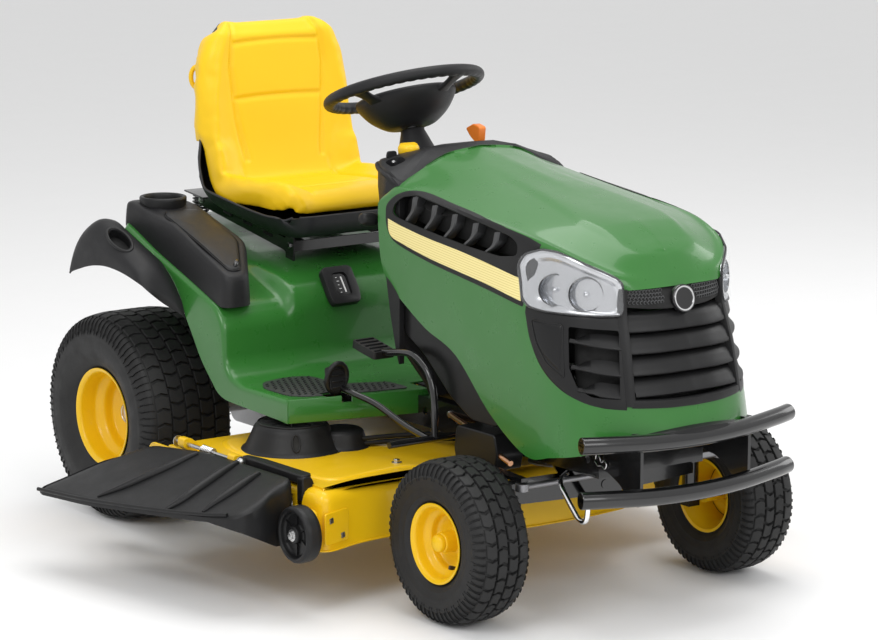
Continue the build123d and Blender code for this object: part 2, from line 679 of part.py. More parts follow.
def hood_side_vent(outer, inner, side):
    """The black bezel along the hood's side with its louvre fins."""
    panel = (outer - inner) & vent_space(side)
    slot = prism_x([(-895, 822), (-905, 868), (-1230, 822), (-1235, 770)], 150, 300)
    panel = panel - (slot if side > 0 else mirrored(slot))
    for i in range(5):
        y = -955 - i * 60
        fin = prism_x([(y, 770), (y - 7, 770), (y + 18, 872), (y + 25, 872)], 222, 246)
        fin = fin & prism_x([(-890, 818), (-900, 872), (-1236, 826), (-1241, 766)], 150, 300)
        panel = panel + (fin if side > 0 else mirrored(fin))
    return largest(panel)


def largest(shape):
    """The largest solid of a shape."""
    return sorted(shape.solids(), key=lambda solid: solid.volume)[-1]


def headlight_lens(outer, side):
    """The clear cover, 3 mm inside the hood's outer form."""
    lens = (outer - hood_solid(3.2)) & lamp_space(side)
    return largest(lens)


def headlight_housing(side):
    """The reflector housing behind the lens."""
    core = hood_solid(10.0) - hood_solid(24.0)
    return largest(core & lamp_space(side))


# ---- seat ---------------------------------------------------------------------------------------
def seat_front_view(half):
    """The seat seen from the front: straight sides, then shoulders that slope in to the top."""
    right = [(half, 600), (half, 1010), (half - 12, 1100), (half - 42, 1172), (half - 80, 1200)]
    return right + [(-x, z) for x, z in right[::-1]]


def shell_line():
    """The seat shell's outer side line, from its front lip under the seat and up its back."""
    line = [(-347, 752), (-335, 722), (-290, 710), (-100, 728), (0, 742), (60, 768), (86, 830), (96, 930)]
    return line + [(106, 1060), (116, 1160)]


def seat_shell():
    """The black moulded pan under and behind the cushion."""
    line = shell_line()
    pan = prism_x(strip(line, -5.0), -222, 222)
    cheek = line[:8] + [(74, 925), (58, 830), (30, 790), (0, 776), (-300, 754)]
    wall = prism_x(cheek, 222, 227)
    handle = block(-60, 60, 126, 142, 1050, 1072) + block(-60, -46, 104, 140, 1050, 1072)
    handle = handle + block(46, 60, 104, 140, 1050, 1072)
    shell = pan + wall + mirrored(wall) + handle
    return shell & prism_y(seat_front_view(SEAT_HALF), -400, 300)


def seat_cushion():
    """The foam seat: cushion and back in one moulding."""
    top_line = [(-352, 778), (-300, 808), (-200, 802), (-40, 792), (-6, 815), (18, 900)]
    top_line += [(46, 1180), (60, 1196), (96, 1196)]
    under = strip(shell_line(), -5.6)[len(shell_line()):]
    form = prism_x(top_line + under, -221.6, 221.6)
    return form & prism_y(seat_front_view(SEAT_HALF - 6), -400, 300)


def bracket_top(y):
    """Height of the seat bracket's sloping top at y."""
    return 684 + BRACKET_SLOPE * (y + 262)


def seat_bracket():
    """The pressed bracket that tilts about the front bolts and carries the slide rails."""
    front = -262
    back = 150
    rail = prism_x(
        [(front, bracket_top(front) - 22), (back, bracket_top(back) - 22), (back, bracket_top(back)),
         (front, bracket_top(front))], 118, 148
    )
    hollow = prism_x(
        [(front - 5, bracket_top(front) - 23), (back + 5, bracket_top(back) - 23),
         (back + 5, bracket_top(back) - 3), (front - 5, bracket_top(front) - 3)], 121, 145
    )
    rail = rail - hollow
    cross = prism_x(
        [(front, bracket_top(front) - 3), (front + 50, bracket_top(front + 50) - 3),
         (front + 50, bracket_top(front + 50)), (front, bracket_top(front))], -119, 119
    )
    wing = prism_x(
        [(120, bracket_top(120) - 3), (205, bracket_top(205) - 3), (205, bracket_top(205)),
         (120, bracket_top(120))], -165, 165
    )
    bracket = rail + mirrored(rail) + cross + wing
    return bracket - rod((-160, *SEAT_PIVOT), (160, *SEAT_PIVOT), 5 + SHAFT_FIT)


def seat_stand():
    """The upright ears on the fender that the seat bracket's bolts pass through."""
    ear = block(149, 153, -266, -232, 632, 694)
    bolt = rod((117, *SEAT_PIVOT), (160, *SEAT_PIVOT), 5)
    side = ear + bolt
    return block(-153, 153, -262, -234, 629, 633) + side + mirrored(side)


def coil_spring(x, y, z0, z1):
    """A seat spring, seven turns of 5 mm wire."""
    height = z1 - z0 - 6
    helix = Helix(pitch=height / 7, height=height, radius=19)
    profile = Plane(origin=helix @ 0, z_dir=helix % 0) * Circle(2.6)
    return Pos(x, y, z0 + 3) * sweep(profile, path=helix)


def seat_springs():
    return [coil_spring(side * 134, 178, 695.5, bracket_top(160) - 3.5) for side in (1, -1)]


# ---- controls -----------------------------------------------------------------------------------
def pedal(pad, pivot, side_x, width):
    """A pedal: pad, bent arm and pivot tube on the frame's cross shaft."""
    pad_y, pad_z = pad
    pivot_y, pivot_z = pivot
    plate = block(side_x - width / 2, side_x + width / 2, pad_y - 28, pad_y + 28, pad_z - 7, pad_z + 7)
    plate = fillet(plate.edges().filter_by(Axis.Z), 10)
    arm = rod((side_x, pad_y - 10, pad_z - 4), (side_x, pad_y - 90, pad_z - 30), 6)
    arm = arm + Pos(side_x, pad_y - 90, pad_z - 30) * Sphere(6)
    arm = arm + rod((side_x, pad_y - 90, pad_z - 30), (side_x, pivot_y, pivot_z), 6)
    tube = rod((side_x - 22, pivot_y, pivot_z), (side_x + 22, pivot_y, pivot_z), 13)
    bore = rod((side_x - 30, pivot_y, pivot_z), (side_x + 30, pivot_y, pivot_z), 8 + SHAFT_FIT)
    return (plate + arm + tube) - bore


def throttle_lever():
    """The orange lever through the dash slot, on its pivot inside."""
    stem = block(99, 105, -676, -664, 880, 965)
    grip = prism_x([(-682, 962), (-650, 962), (-628, 984), (-660, 996), (-686, 990)], 92, 112)
    return stem + grip + rod((96, -670, 880), (108, -670, 880), 9)


def pto_knob():
    """The pull knob that engages the mower, with its stem."""
    stem = rod((-110, -640, 880), (-110, -640, 950), 6)
    head = Pos(-110, -640, 958) * Cylinder(17, 20) + Pos(-110, -640, 971) * Cylinder(22, 8)
    return stem + head


def ignition_key():
    """The key and its barrel in the dash."""
    barrel = rod((-172, -700, 900), (-172, -700, 948), 8.2)
    return barrel + block(-174, -170, -712, -688, 946, 972)


def parking_brake_lever():
    """The small lever at the tower's right side."""
    lever = block(-256, -228, -792, -782, 796, 816) + block(-268, -254, -800, -774, 796, 830)
    return lever + rod((-232, -787, 790), (-222, -787, 790), 16)


def lift_lever():
    """The deck lift lever: pivot hub, flat bar and grip."""
    hub = rod((390, -60, 560), (410, -60, 560), 20)
    bar = prism_x([(-72, 560), (-48, 560), (-22, 800), (-44, 800)], 396, 404)
    grip = rod((400, -34, 792), (400, -17, 910), 15) + Pos(400, -17, 910) * Sphere(15)
    return hub + bar + grip - rod((380, -60, 560), (420, -60, 560), 8 + SHAFT_FIT)


def lever_pivots():
    """Fixed cross shafts that the pedals and the lift lever turn on, carried by the frame."""
    pedal_right = rod((-380, -982, 345), (-148.4, -982, 345), 8)
    pedal_left = rod((148.4, -982, 345), (330, -982, 345), 8)
    lift = rod((380, -60, 560), (446.5, -60, 560), 8)
    return [pedal_right, pedal_left, lift]


# ---- mower --------------------------------------------------------------------------------------
def deck_outline(inset):
    """The deck in plan: a bay for each blade, the middle bay further forward."""
    outline = [(-592, -1030), (-470, -990), (-320, -985), (-215, -1040), (-190, -1090), (-60, -1106)]
    outline += [(90, -1106), (215, -1090), (240, -1040), (340, -985), (490, -990), (616, -1030)]
    outline += [(616, -500), (560, -420)]
    outline += [(200, -405), (-160, -405), (-560, -405), (-592, -450)]
    cx = 20.0
    cy = -745.0
    return [
        (x - inset * (1 if x > cx else -1), y - inset * (1 if y > cy else -1)) for x, y in outline
    ]


def mower_deck():
    """The pressed deck: top, skirt, discharge opening, spindle bosses and gauge wheel arms."""
    deck = prism_z(deck_outline(0), DECK_Z0, DECK_Z1)
    deck = deck - prism_z(deck_outline(DECK_WALL), DECK_Z0 - 5, DECK_Z1 - DECK_WALL)
    deck = deck - block(-600, -586, -930, -640, DECK_Z0 - 5, 250)
    for x, y in SPINDLES.values():
        deck = deck + rod((x, y, 196), (x, y, 282), 34) + rod((x, y, 262), (x, y, DECK_Z1 + 3), 62)
    for x, y in SPINDLES.values():
        deck = deck - rod((x, y, 150), (x, y, 300), 10 + SHAFT_FIT)
    for name, (x, y, z) in GAUGES.items():
        side = 1 if x > 0 else -1
        wall_x = 613 if side > 0 else -589
        inner = x - side * (GAUGE_W / 2 + 2.5)
        axle = rod((wall_x, y, z), (x + side * (GAUGE_W / 2 + 9), y, z), 8)
        arm_y = -1000 if "front" in name else -520
        low_x = min(wall_x, inner)
        high_x = max(wall_x, inner)
        plate = block(low_x, high_x, min(y, arm_y) - 16, max(y, arm_y) + 16, z - 18, z + 60)
        head = rod((x + side * (GAUGE_W / 2 + 4), y, z), (x + side * (GAUGE_W / 2 + 10), y, z), 13)
        deck = deck + axle + plate + head
    knuckles = hinge_knuckles()
    return deck + knuckles


def hinge_knuckles():
    """The deck's hinge ears and the chute's hinge rod."""
    x, z = CHUTE_HINGE
    pin = rod((x, -946, z), (x, -672, z), 4)
    ears = block(x - 7, -589, -944, -938, 262, z + 7) + block(x - 7, -589, -682, -676, 262, z + 7)
    return pin + ears


def cover_form(x, y, step_x, base, top, height, z):
    """Two blended cones, one over the spindle and one beside it."""
    first = Pos(x, y, z + height / 2) * Cone(base, top, height)
    second = Pos(x + step_x, y + COVER_STEP[1], z + height / 2) * Cone(base, top, height)
    return first + second


def belt_cover(x, y, side):
    """A moulded cover over a spindle's pulley, open where the belt enters."""
    step = side * COVER_STEP[0]
    z = DECK_Z1 + 3.6
    outer = cover_form(x, y, step, 96, 76, 62, z)
    inner = cover_form(x, y, step, 93, 73, 59, z - 0.01)
    gap = block(x - side * 110 - 60, x - side * 110 + 60, y - 130, y + 10, z + 8, z + 40)
    return outer - inner - gap


def deck_belt_covers():
    return [belt_cover(*SPINDLES["right"], -1), belt_cover(*SPINDLES["left"], 1)]


def spindle_blade(centre, angle):
    """A blade with its spindle shaft and pulley."""
    x, y = centre
    shaft = rod((x, y, 176), (x, y, 312), 10)
    bar = block(-BLADE_R, BLADE_R, -28, 28, 168, 173)
    bar = bar + prism_x([(28, 168), (28, 173), (44, 186), (44, 181)], 110, BLADE_R)
    bar = bar + Rot(0, 0, 180) * prism_x([(28, 168), (28, 173), (44, 186), (44, 181)], 110, BLADE_R)
    trim = Cylinder(BLADE_R, 80)
    bar = bar & (Pos(0, 0, 175) * trim)
    blade = Pos(x, y, 0) * (Rot(0, 0, angle) * bar)
    blade = blade + rod((x, y, 158), (x, y, 180), 16)
    outline = [(9, 287), (62, 287), (62, 289), (52, 294), (52, 298), (62, 303), (62, 305), (9, 305)]
    section = make_face(Polyline(*[(r, 0, z) for r, z in outline], close=True))
    pulley = revolve(section, Axis.Z, 360)
    return blade + shaft + Pos(x, y, 0) * pulley


def discharge_chute():
    """The moulded deflector on its hinge rod: sloped roof, front wall and hinge sleeve."""
    x, z = CHUTE_HINGE
    roof_line = strip([(x + 2, z + 8.9), (-660, 274), (-760, 236), (-830, 204), (-890, 178)], 4.0)
    roof = prism_y(roof_line, -960, -250)
    plan = [(x - 3, -934), (-640, -918), (-726, -882), (-822, -540), (-886, -292), (-650, -410)]
    plan = plan + [(x - 9, -686), (x - 3, -686)]
    roof = roof & prism_z(plan, 100, 320)
    wall_line = [(x - 3, z + 4), (-660, 272), (-736, 244), (-724, 124), (x - 3, 140)]
    wall_plan = [(x - 3, -934), (-640, -918), (-726, -882), (-726, -878), (-639, -914), (x - 3, -930)]
    wall = prism_y(wall_line, -960, -870) & prism_z(wall_plan, 100, 320)
    sleeve = rod((x, -934, z), (x, -686, z), 9)
    body = roof + wall + sleeve
    return body - rod((x, -1000, z), (x, -600, z), 4 + SHAFT_FIT)


def gauge_wheel(name):
    """A deck gauge wheel: rounded tread, web and bored hub."""
    x, y, z = GAUGES[name]
    half = GAUGE_W / 2
    tread = [(-half, GAUGE_R - 7), (-half + 6, GAUGE_R), (half - 6, GAUGE_R), (half, GAUGE_R - 7)]
    tread = tread + [(half - 3, GAUGE_R - 14), (4, GAUGE_R - 17), (4, 20), (half, 20), (half, 8 + SHAFT_FIT)]
    tread = tread + [(-half, 8 + SHAFT_FIT), (-half, 20), (-4, 20), (-4, GAUGE_R - 17)]
    tread = tread + [(-half + 3, GAUGE_R - 14)]
    face = make_face(Polyline(*[(x + u, 0, r) for u, r in tread], close=True))
    return Pos(0, y, z) * revolve(face, Axis.X, 360)


# ---- the whole machine --------------------------------------------------------------------------
def chassis():
    save("frame_rails", frame_rail(1), frame_rail(-1))
    save("frame_crossmembers", *frame_crossmembers(), seat_stand(), *lever_pivots())
    save("bumper", bumper())
    save("transaxle", transaxle())


def steering():
    save("front_axle_beam", front_axle_beam())
    save("knuckle_left", knuckle(1))
    save("knuckle_right", knuckle(-1))
    save("tie_rod", tie_rod())
    save("sector_gear", sector_gear())
    save("steering_shaft", steering_shaft())
    save("steering_wheel", steering_wheel())


def power():
    save("engine_block", engine_block())
    save("engine_blower_housing", engine_blower_housing())
    save("muffler", muffler())
    save("crank_pulley", crank_pulley())
    save("fuel_tank", fuel_tank())
    save("fuel_cap", fuel_cap())
    save("battery", battery())


def bodywork():
    save("fender_deck", fender_deck())
    save("fender_flares", *fender_flares())
    save("storage_box", storage_box())
    save("storage_lid", storage_lid())
    save("dash_tower", dash_tower())


def hood():
    outer = hood_solid(0.0)
    inner = hood_inner()
    save("hood_shell", hood_shell(outer, inner))
    save("hood_grille", hood_grille(outer), side_grille(outer, inner, 1), side_grille(outer, inner, -1))
    save("hood_side_vents", hood_side_vent(outer, inner, 1), hood_side_vent(outer, inner, -1))
    save("headlight_lenses", headlight_lens(outer, 1), headlight_lens(outer, -1))
    save("headlight_housings", headlight_housing(1), headlight_housing(-1))


def seat():
    save("seat_bracket", seat_bracket())
    save("seat_springs", *seat_springs())
    save("seat_shell", seat_shell())
    save("seat_cushion", seat_cushion())


def controls():
    save("pedal_forward", pedal((-735, 508), (-982, 345), -272, 58))
    save("pedal_reverse", pedal((-712, 436), (-982, 345), -335, 60))
    save("pedal_brake", pedal((-735, 508), (-982, 345), 290, 88))
    save("throttle_lever", throttle_lever())
    save("pto_knob", pto_knob())
    save("ignition_key", ignition_key())
    save("parking_brake_lever", parking_brake_lever())
    save("lift_lever", lift_lever())


def mower():
    save("mower_deck", mower_deck())
    save("deck_belt_covers", *deck_belt_covers())
    save("blade_right", spindle_blade(SPINDLES["right"], 20))
    save("blade_centre", spindle_blade(SPINDLES["centre"], 80))
    save("blade_left", spindle_blade(SPINDLES["left"], -35))
    save("discharge_chute", discharge_chute())
    for name in GAUGES:
        save(f"gauge_wheel_{name}", gauge_wheel(name))


wheels()
chassis()
steering()
power()
bodywork()
hood()
seat()
controls()
mower()
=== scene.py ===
import bmesh
import bpy
import math
from math import cos, pi, sin
import numpy as np
from mathutils import Vector, Matrix
from mathutils.bvhtree import BVHTree


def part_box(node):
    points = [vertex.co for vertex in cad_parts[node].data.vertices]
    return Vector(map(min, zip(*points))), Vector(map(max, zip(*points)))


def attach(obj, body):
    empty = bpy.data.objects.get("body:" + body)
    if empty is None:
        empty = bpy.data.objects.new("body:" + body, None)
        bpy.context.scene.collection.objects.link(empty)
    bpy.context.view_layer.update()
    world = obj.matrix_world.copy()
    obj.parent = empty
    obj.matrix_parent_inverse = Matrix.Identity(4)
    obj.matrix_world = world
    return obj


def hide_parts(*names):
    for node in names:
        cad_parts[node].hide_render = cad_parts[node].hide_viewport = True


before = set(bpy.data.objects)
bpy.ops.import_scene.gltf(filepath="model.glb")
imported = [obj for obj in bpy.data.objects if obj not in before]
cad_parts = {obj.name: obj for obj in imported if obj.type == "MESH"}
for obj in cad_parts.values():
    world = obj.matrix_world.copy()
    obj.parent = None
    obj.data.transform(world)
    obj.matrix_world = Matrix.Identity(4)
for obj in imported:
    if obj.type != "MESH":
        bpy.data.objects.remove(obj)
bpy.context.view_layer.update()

# Shapes below are written in millimetres about the machine's own datum: x = 0 on the centre plane,
# y = 0 at the rear axle, z = 0 on the ground, nose towards -y.  The datum is read from the rear tyres.
LEFT_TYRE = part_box("rear_tyre_left")
RIGHT_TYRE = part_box("rear_tyre_right")
OX = (LEFT_TYRE[1].x + RIGHT_TYRE[0].x) / 2
OY = (LEFT_TYRE[0].y + LEFT_TYRE[1].y) / 2


REAR_TRACK, REAR_RADIUS = 432, 254
FRONT_TRACK, FRONT_AXLE, FRONT_RADIUS = 381, -1243, 183


def to_metres(v):
    """Machine millimetres to metres in the shared frame."""
    v = np.asarray(v, float).reshape(-1, 3) / 1000.0
    v[:, 0] += OX
    v[:, 1] += OY
    return v


# ------------------------------------------------------------------ materials
def shader(name):
    """An empty material with its tree and its surface node."""
    mat = bpy.data.materials.new(name)
    mat.use_nodes = True
    tree = mat.node_tree
    return mat, tree, tree.nodes["Principled BSDF"]


def noise(tree, scale, detail=4.0):
    """Noise over the object's own coordinates."""
    coords = tree.nodes.new("ShaderNodeTexCoord")
    tex = tree.nodes.new("ShaderNodeTexNoise")
    tex.inputs["Scale"].default_value = scale
    tex.inputs["Detail"].default_value = detail
    tex.inputs["Roughness"].default_value = 0.6
    tree.links.new(coords.outputs["Object"], tex.inputs["Vector"])
    return tex


def ramp(tree, source, low, high, out_low, out_high):
    """Maps a value from one range to another."""
    node = tree.nodes.new("ShaderNodeMapRange")
    node.inputs["From Min"].default_value = low
    node.inputs["From Max"].default_value = high
    node.inputs["To Min"].default_value = out_low
    node.inputs["To Max"].default_value = out_high
    tree.links.new(source, node.inputs["Value"])
    return node.outputs["Result"]


def finish_mat(name, color, rough, metal=0.0, coat=0.0, grain=0.0, grain_scale=900.0, vary=0.12,
        spec=0.5):
    """A surface with uneven colour and gloss, and a fine grain in its relief."""
    mat, tree, bsdf = shader(name)
    wide = noise(tree, 5.0, 3.0)
    mix = tree.nodes.new("ShaderNodeMix")
    mix.data_type = "RGBA"
    mix.inputs["A"].default_value = (*[c * (1 - vary) for c in color], 1)
    mix.inputs["B"].default_value = (*[min(1, c * (1 + vary)) for c in color], 1)
    tree.links.new(wide.outputs["Fac"], mix.inputs["Factor"])
    tree.links.new(mix.outputs["Result"], bsdf.inputs["Base Color"])
    smear = noise(tree, 24.0, 6.0)
    tree.links.new(ramp(tree, smear.outputs["Fac"], 0.3, 0.7, rough * 0.85, rough * 1.15),
        bsdf.inputs["Roughness"])
    bsdf.inputs["Metallic"].default_value = metal
    bsdf.inputs["Coat Weight"].default_value = coat
    bsdf.inputs["Coat Roughness"].default_value = 0.06
    bsdf.inputs["Specular IOR Level"].default_value = spec
    if grain > 0:
        fine = noise(tree, grain_scale, 2.0)
        bump = tree.nodes.new("ShaderNodeBump")
        bump.inputs["Strength"].default_value = grain
        bump.inputs["Distance"].default_value = 0.0006
        tree.links.new(fine.outputs["Fac"], bump.inputs["Height"])
        tree.links.new(bump.outputs["Normal"], bsdf.inputs["Normal"])
    return mat


def striped_mat():
    """Pale yellow decal with fine printed lines along it."""
    mat, tree, bsdf = shader("decal_stripe")
    coords = tree.nodes.new("ShaderNodeTexCoord")
    split = tree.nodes.new("ShaderNodeSeparateXYZ")
    tree.links.new(coords.outputs["Object"], split.inputs["Vector"])
    slope = tree.nodes.new("ShaderNodeMath")
    slope.operation = "MULTIPLY_ADD"
    slope.inputs[1].default_value = -0.105
    tree.links.new(split.outputs["Y"], slope.inputs[0])
    tree.links.new(split.outputs["Z"], slope.inputs[2])
    lines = tree.nodes.new("ShaderNodeMath")
    lines.operation = "PINGPONG"
    lines.inputs[1].default_value = 0.0028
    tree.links.new(slope.outputs[0], lines.inputs[0])
    mask = ramp(tree, lines.outputs[0], 0.0003, 0.0008, 0.0, 1.0)
    mix = tree.nodes.new("ShaderNodeMix")
    mix.data_type = "RGBA"
    mix.inputs["A"].default_value = (0.62, 0.50, 0.16, 1)
    mix.inputs["B"].default_value = (0.86, 0.74, 0.32, 1)
    tree.links.new(mask, mix.inputs["Factor"])
    tree.links.new(mix.outputs["Result"], bsdf.inputs["Base Color"])
    bsdf.inputs["Roughness"].default_value = 0.35
    return mat


def clear_mat(name, tint, alpha):
    """Clear plastic that lets most light through."""
    mat, tree, bsdf = shader(name)
    fine = noise(tree, 60.0, 2.0)
    tree.links.new(ramp(tree, fine.outputs["Fac"], 0.2, 0.8, 0.04, 0.08), bsdf.inputs["Roughness"])
    bsdf.inputs["Base Color"].default_value = (*tint, 1)
    bsdf.inputs["Alpha"].default_value = alpha
    bsdf.inputs["IOR"].default_value = 1.5
    bsdf.inputs["Specular IOR Level"].default_value = 1.0
    return mat


def grooved_mat():
    """Black rubber with a dotted relief, for mats."""
    mat, tree, bsdf = shader("mat_rubber")
    bsdf.inputs["Base Color"].default_value = (0.025, 0.027, 0.026, 1)
    bsdf.inputs["Roughness"].default_value = 0.55
    coords = tree.nodes.new("ShaderNodeTexCoord")
    cells = tree.nodes.new("ShaderNodeTexVoronoi")
    cells.inputs["Scale"].default_value = 95.0
    tree.links.new(coords.outputs["Object"], cells.inputs["Vector"])
    bump = tree.nodes.new("ShaderNodeBump")
    bump.inputs["Strength"].default_value = 0.35
    bump.inputs["Distance"].default_value = 0.002
    tree.links.new(cells.outputs["Distance"], bump.inputs["Height"])
    tree.links.new(bump.outputs["Normal"], bsdf.inputs["Normal"])
    return mat


GREEN_PAINT = finish_mat("green_paint", (0.026, 0.150, 0.022), rough=0.30, coat=0.35, grain=0.012,
    grain_scale=300, vary=0.05, spec=0.4)
YELLOW_PAINT = finish_mat("yellow_paint", (0.82, 0.50, 0.006), rough=0.36, coat=0.25, grain=0.02,
    grain_scale=400, vary=0.04, spec=0.3)
YELLOW_PLASTIC = finish_mat("yellow_plastic", (0.84, 0.52, 0.006), rough=0.38, coat=0.1, grain=0.04,
    vary=0.05, spec=0.3)
BLACK_PLASTIC = finish_mat("black_plastic", (0.010, 0.010, 0.0105), rough=0.42, grain=0.25,
    grain_scale=1400, vary=0.18, spec=0.28)
BLACK_GRAIN = finish_mat("black_grain", (0.012, 0.012, 0.013), rough=0.48, grain=0.55, grain_scale=800,
    vary=0.2, spec=0.28)
BLACK_GLOSS = finish_mat("black_gloss", (0.005, 0.005, 0.0055), rough=0.22, coat=0.5, grain=0.05,
    vary=0.2)
BLACK_SATIN = finish_mat("black_satin", (0.008, 0.008, 0.0085), rough=0.34, grain=0.15, vary=0.2,
    spec=0.28)
# Painted shade: a near-black matte finish for sheets set in openings and recesses where only shadow
# falls.
PAINTED_SHADE_BLACK = finish_mat("painted_shade_finish", (0.004, 0.004, 0.004), rough=0.8, vary=0.1)
RUBBER = finish_mat("tyre_rubber", (0.011, 0.011, 0.0112), rough=0.60, grain=0.5, grain_scale=500,
    vary=0.2, spec=0.4)
VINYL = finish_mat("seat_vinyl", (0.86, 0.54, 0.008), rough=0.44, coat=0.05, grain=0.22, grain_scale=750,
    vary=0.03, spec=0.3)
PAN_GREY = finish_mat("seat_pan_grey", (0.016, 0.0165, 0.019), rough=0.50, grain=0.6, grain_scale=600,
    vary=0.2)
ZINC = finish_mat("zinc_plate", (0.62, 0.62, 0.62), rough=0.28, metal=1.0, grain=0.12, vary=0.12)
CHROME = finish_mat("chrome", (0.85, 0.85, 0.86), rough=0.08, metal=1.0, grain=0.02, vary=0.05)
STEEL = finish_mat("worn_steel", (0.30, 0.30, 0.31), rough=0.42, metal=1.0, grain=0.3, vary=0.25)
ALLOY = finish_mat("cast_alloy", (0.38, 0.38, 0.39), rough=0.5, metal=0.9, grain=0.7, grain_scale=350,
    vary=0.2)
LAMP_WHITE = finish_mat("lamp_white", (0.52, 0.53, 0.55), rough=0.20, metal=0.75, grain=0.03, vary=0.05)
# Painted reflection: a dark base colour with strong random variation stands in for the dark reflections
# seen in the headlight bowls.
CHROME_PAINTED_REFLECTION = finish_mat("lamp_chrome_painted_reflection", (0.20, 0.21, 0.23), rough=0.14, metal=1.0, grain=0.03, vary=0.5)
ORANGE = finish_mat("orange_plastic", (0.82, 0.21, 0.02), rough=0.4, coat=0.2, grain=0.06, vary=0.06)
GREY_PLATE = finish_mat("grey_plate", (0.55, 0.56, 0.58), rough=0.35, grain=0.05, vary=0.06)
LABEL_WHITE = finish_mat("label_white", (0.75, 0.75, 0.74), rough=0.4, grain=0.05, vary=0.05)
FIN_GREY = finish_mat("fin_grey", (0.045, 0.046, 0.048), rough=0.38, grain=0.1, vary=0.1)
GASKET = finish_mat("black_gasket", (0.008, 0.008, 0.009), rough=0.5, grain=0.1, vary=0.2)
STRIPE = striped_mat()
LENS = clear_mat("clear_lens", (0.9, 0.92, 0.95), 0.06)
MAT_RUBBER = grooved_mat()
FLOOR_MAT = finish_mat("pale_floor", (0.86, 0.86, 0.86), rough=0.6, vary=0.01)


# ------------------------------------------------------------------ shape helpers, all in millimetres
def through(p, steps):
    """Points of a smooth line through rows of points, with the same number of steps in every span."""
    q = np.concatenate([[2 * p[0] - p[1]], p, [2 * p[-1] - p[-2]]])
    t = (np.arange(steps) / steps).reshape((-1,) + (1,) * (p.ndim - 1))
    out = []
    for a, b, c, d in zip(q, q[1:], q[2:], q[3:]):
        bend, twist = 2 * a - 5 * b + 4 * c - d, 3 * b - a - 3 * c + d
        out.append(0.5 * (2 * b + (c - a) * t + bend * t**2 + twist * t**3))
    return np.concatenate([*out, p[-1:]])


def spline(points, count):
    """A smooth line through the points, evenly spaced by length."""
    p = np.asarray(points, float)
    return resample(p if len(p) < 3 else through(p, 12), count)


def resample(dense, count):
    """The same line with points evenly spaced by length."""
    dense = np.asarray(dense, float)
    gap = np.r_[0, np.cumsum(np.linalg.norm(np.diff(dense, axis=0), axis=1))]
    want = np.linspace(0, gap[-1], count)
    return np.stack([np.interp(want, gap, dense[:, k]) for k in range(dense.shape[1])], 1)


def rounded(points, radius, steps=5, closed=True):
    """A polygon whose corners are rounded off."""
    p = [np.asarray(q, float) for q in points]
    out = []
    n = len(p)
    for i in range(n):
        if not closed and i in (0, n - 1):
            out.append(p[i])
            continue
        a, b, c = p[i - 1], p[i], p[(i + 1) % n]
        u = (a - b) / np.linalg.norm(a - b)
        w = (c - b) / np.linalg.norm(c - b)
        reach = min(radius, 0.45 * np.linalg.norm(a - b), 0.45 * np.linalg.norm(c - b))
        s, e = b + u * reach, b + w * reach
        for k in range(steps + 1):
            t = k / steps
            out.append((1 - t) ** 2 * s + 2 * t * (1 - t) * b + t**2 * e)
    return np.array(out)


def grid(points, close_u=False, close_v=False):
    """Faces over a (rows, columns, 3) array of points."""
    rows, cols = points.shape[:2]
    idx = np.arange(rows * cols).reshape(rows, cols)
    ru = range(rows if close_u else rows - 1)
    rv = range(cols if close_v else cols - 1)
    faces = []
    for i in ru:
        for j in rv:
            i2, j2 = (i + 1) % rows, (j + 1) % cols
            faces.append((int(idx[i, j]), int(idx[i, j2]), int(idx[i2, j2]), int(idx[i2, j])))
    return points.reshape(-1, 3), faces


def join(parts):
    """Several parts as one list of points and faces."""
    verts, faces, base = [], [], 0
    for v, f in parts:
        v = np.asarray(v, float).reshape(-1, 3)
        verts.append(v)
        faces += [tuple(i + base for i in face) for face in f]
        base += len(v)
    return np.concatenate(verts), faces


def moved(part, x=0, y=0, z=0):
    """The part shifted."""
    return np.asarray(part[0], float) + np.array([x, y, z]), part[1]


def flipped(part):
    """Mirrored to the other side of the centre plane."""
    v = np.asarray(part[0], float).reshape(-1, 3) * np.array([-1, 1, 1])
    return v, [tuple(reversed(f)) for f in part[1]]


def both(part):
    """The part and its mirror image."""
    return join([part, flipped(part)])


def turned(part, axis, degrees, about=(0, 0, 0)):
    """The part turned about an axis through a point."""
    m = np.array(Matrix.Rotation(math.radians(degrees), 3, Vector(axis)))
    about = np.asarray(about, float)
    return (np.asarray(part[0], float) - about) @ m.T + about, part[1]


def lathe(profile, centre, axis="x", side=1, n=72):
    """Turns (offset along the axis, radius) points about an axis through centre."""
    pts = []
    for k in range(n):
        a = 2 * pi * k / n
        ring = []
        for u, r in profile:
            c, s = r * cos(a), r * sin(a)
            ring.append({"x": (side * u, c, s), "y": (c, side * u, s), "z": (c, s, side * u)}[axis])
        ring = np.array(ring) + np.asarray(centre, float)
        pts.append(ring)
    return grid(np.array(pts), close_u=True)


def frames(path):
    """A path with two normals at each point that turn as little as they can."""
    path = np.asarray(path, float)
    tangent = np.gradient(path, axis=0)
    size = np.linalg.norm(tangent, axis=1)[:, None]
    tangent = np.where(size > 1e-9, tangent / np.maximum(size, 1e-9), path[-1] - path[0])
    tangent /= np.linalg.norm(tangent, axis=1)[:, None]
    ref = np.array([0, 0, 1.0]) if abs(tangent[0][2]) < 0.9 else np.array([1.0, 0, 0])
    normals = []
    for t in tangent:
        nrm = ref - t * (ref @ t)
        nrm /= np.linalg.norm(nrm)
        normals.append(nrm)
        ref = nrm
    normals = np.array(normals)
    return path, normals, np.cross(tangent, normals)


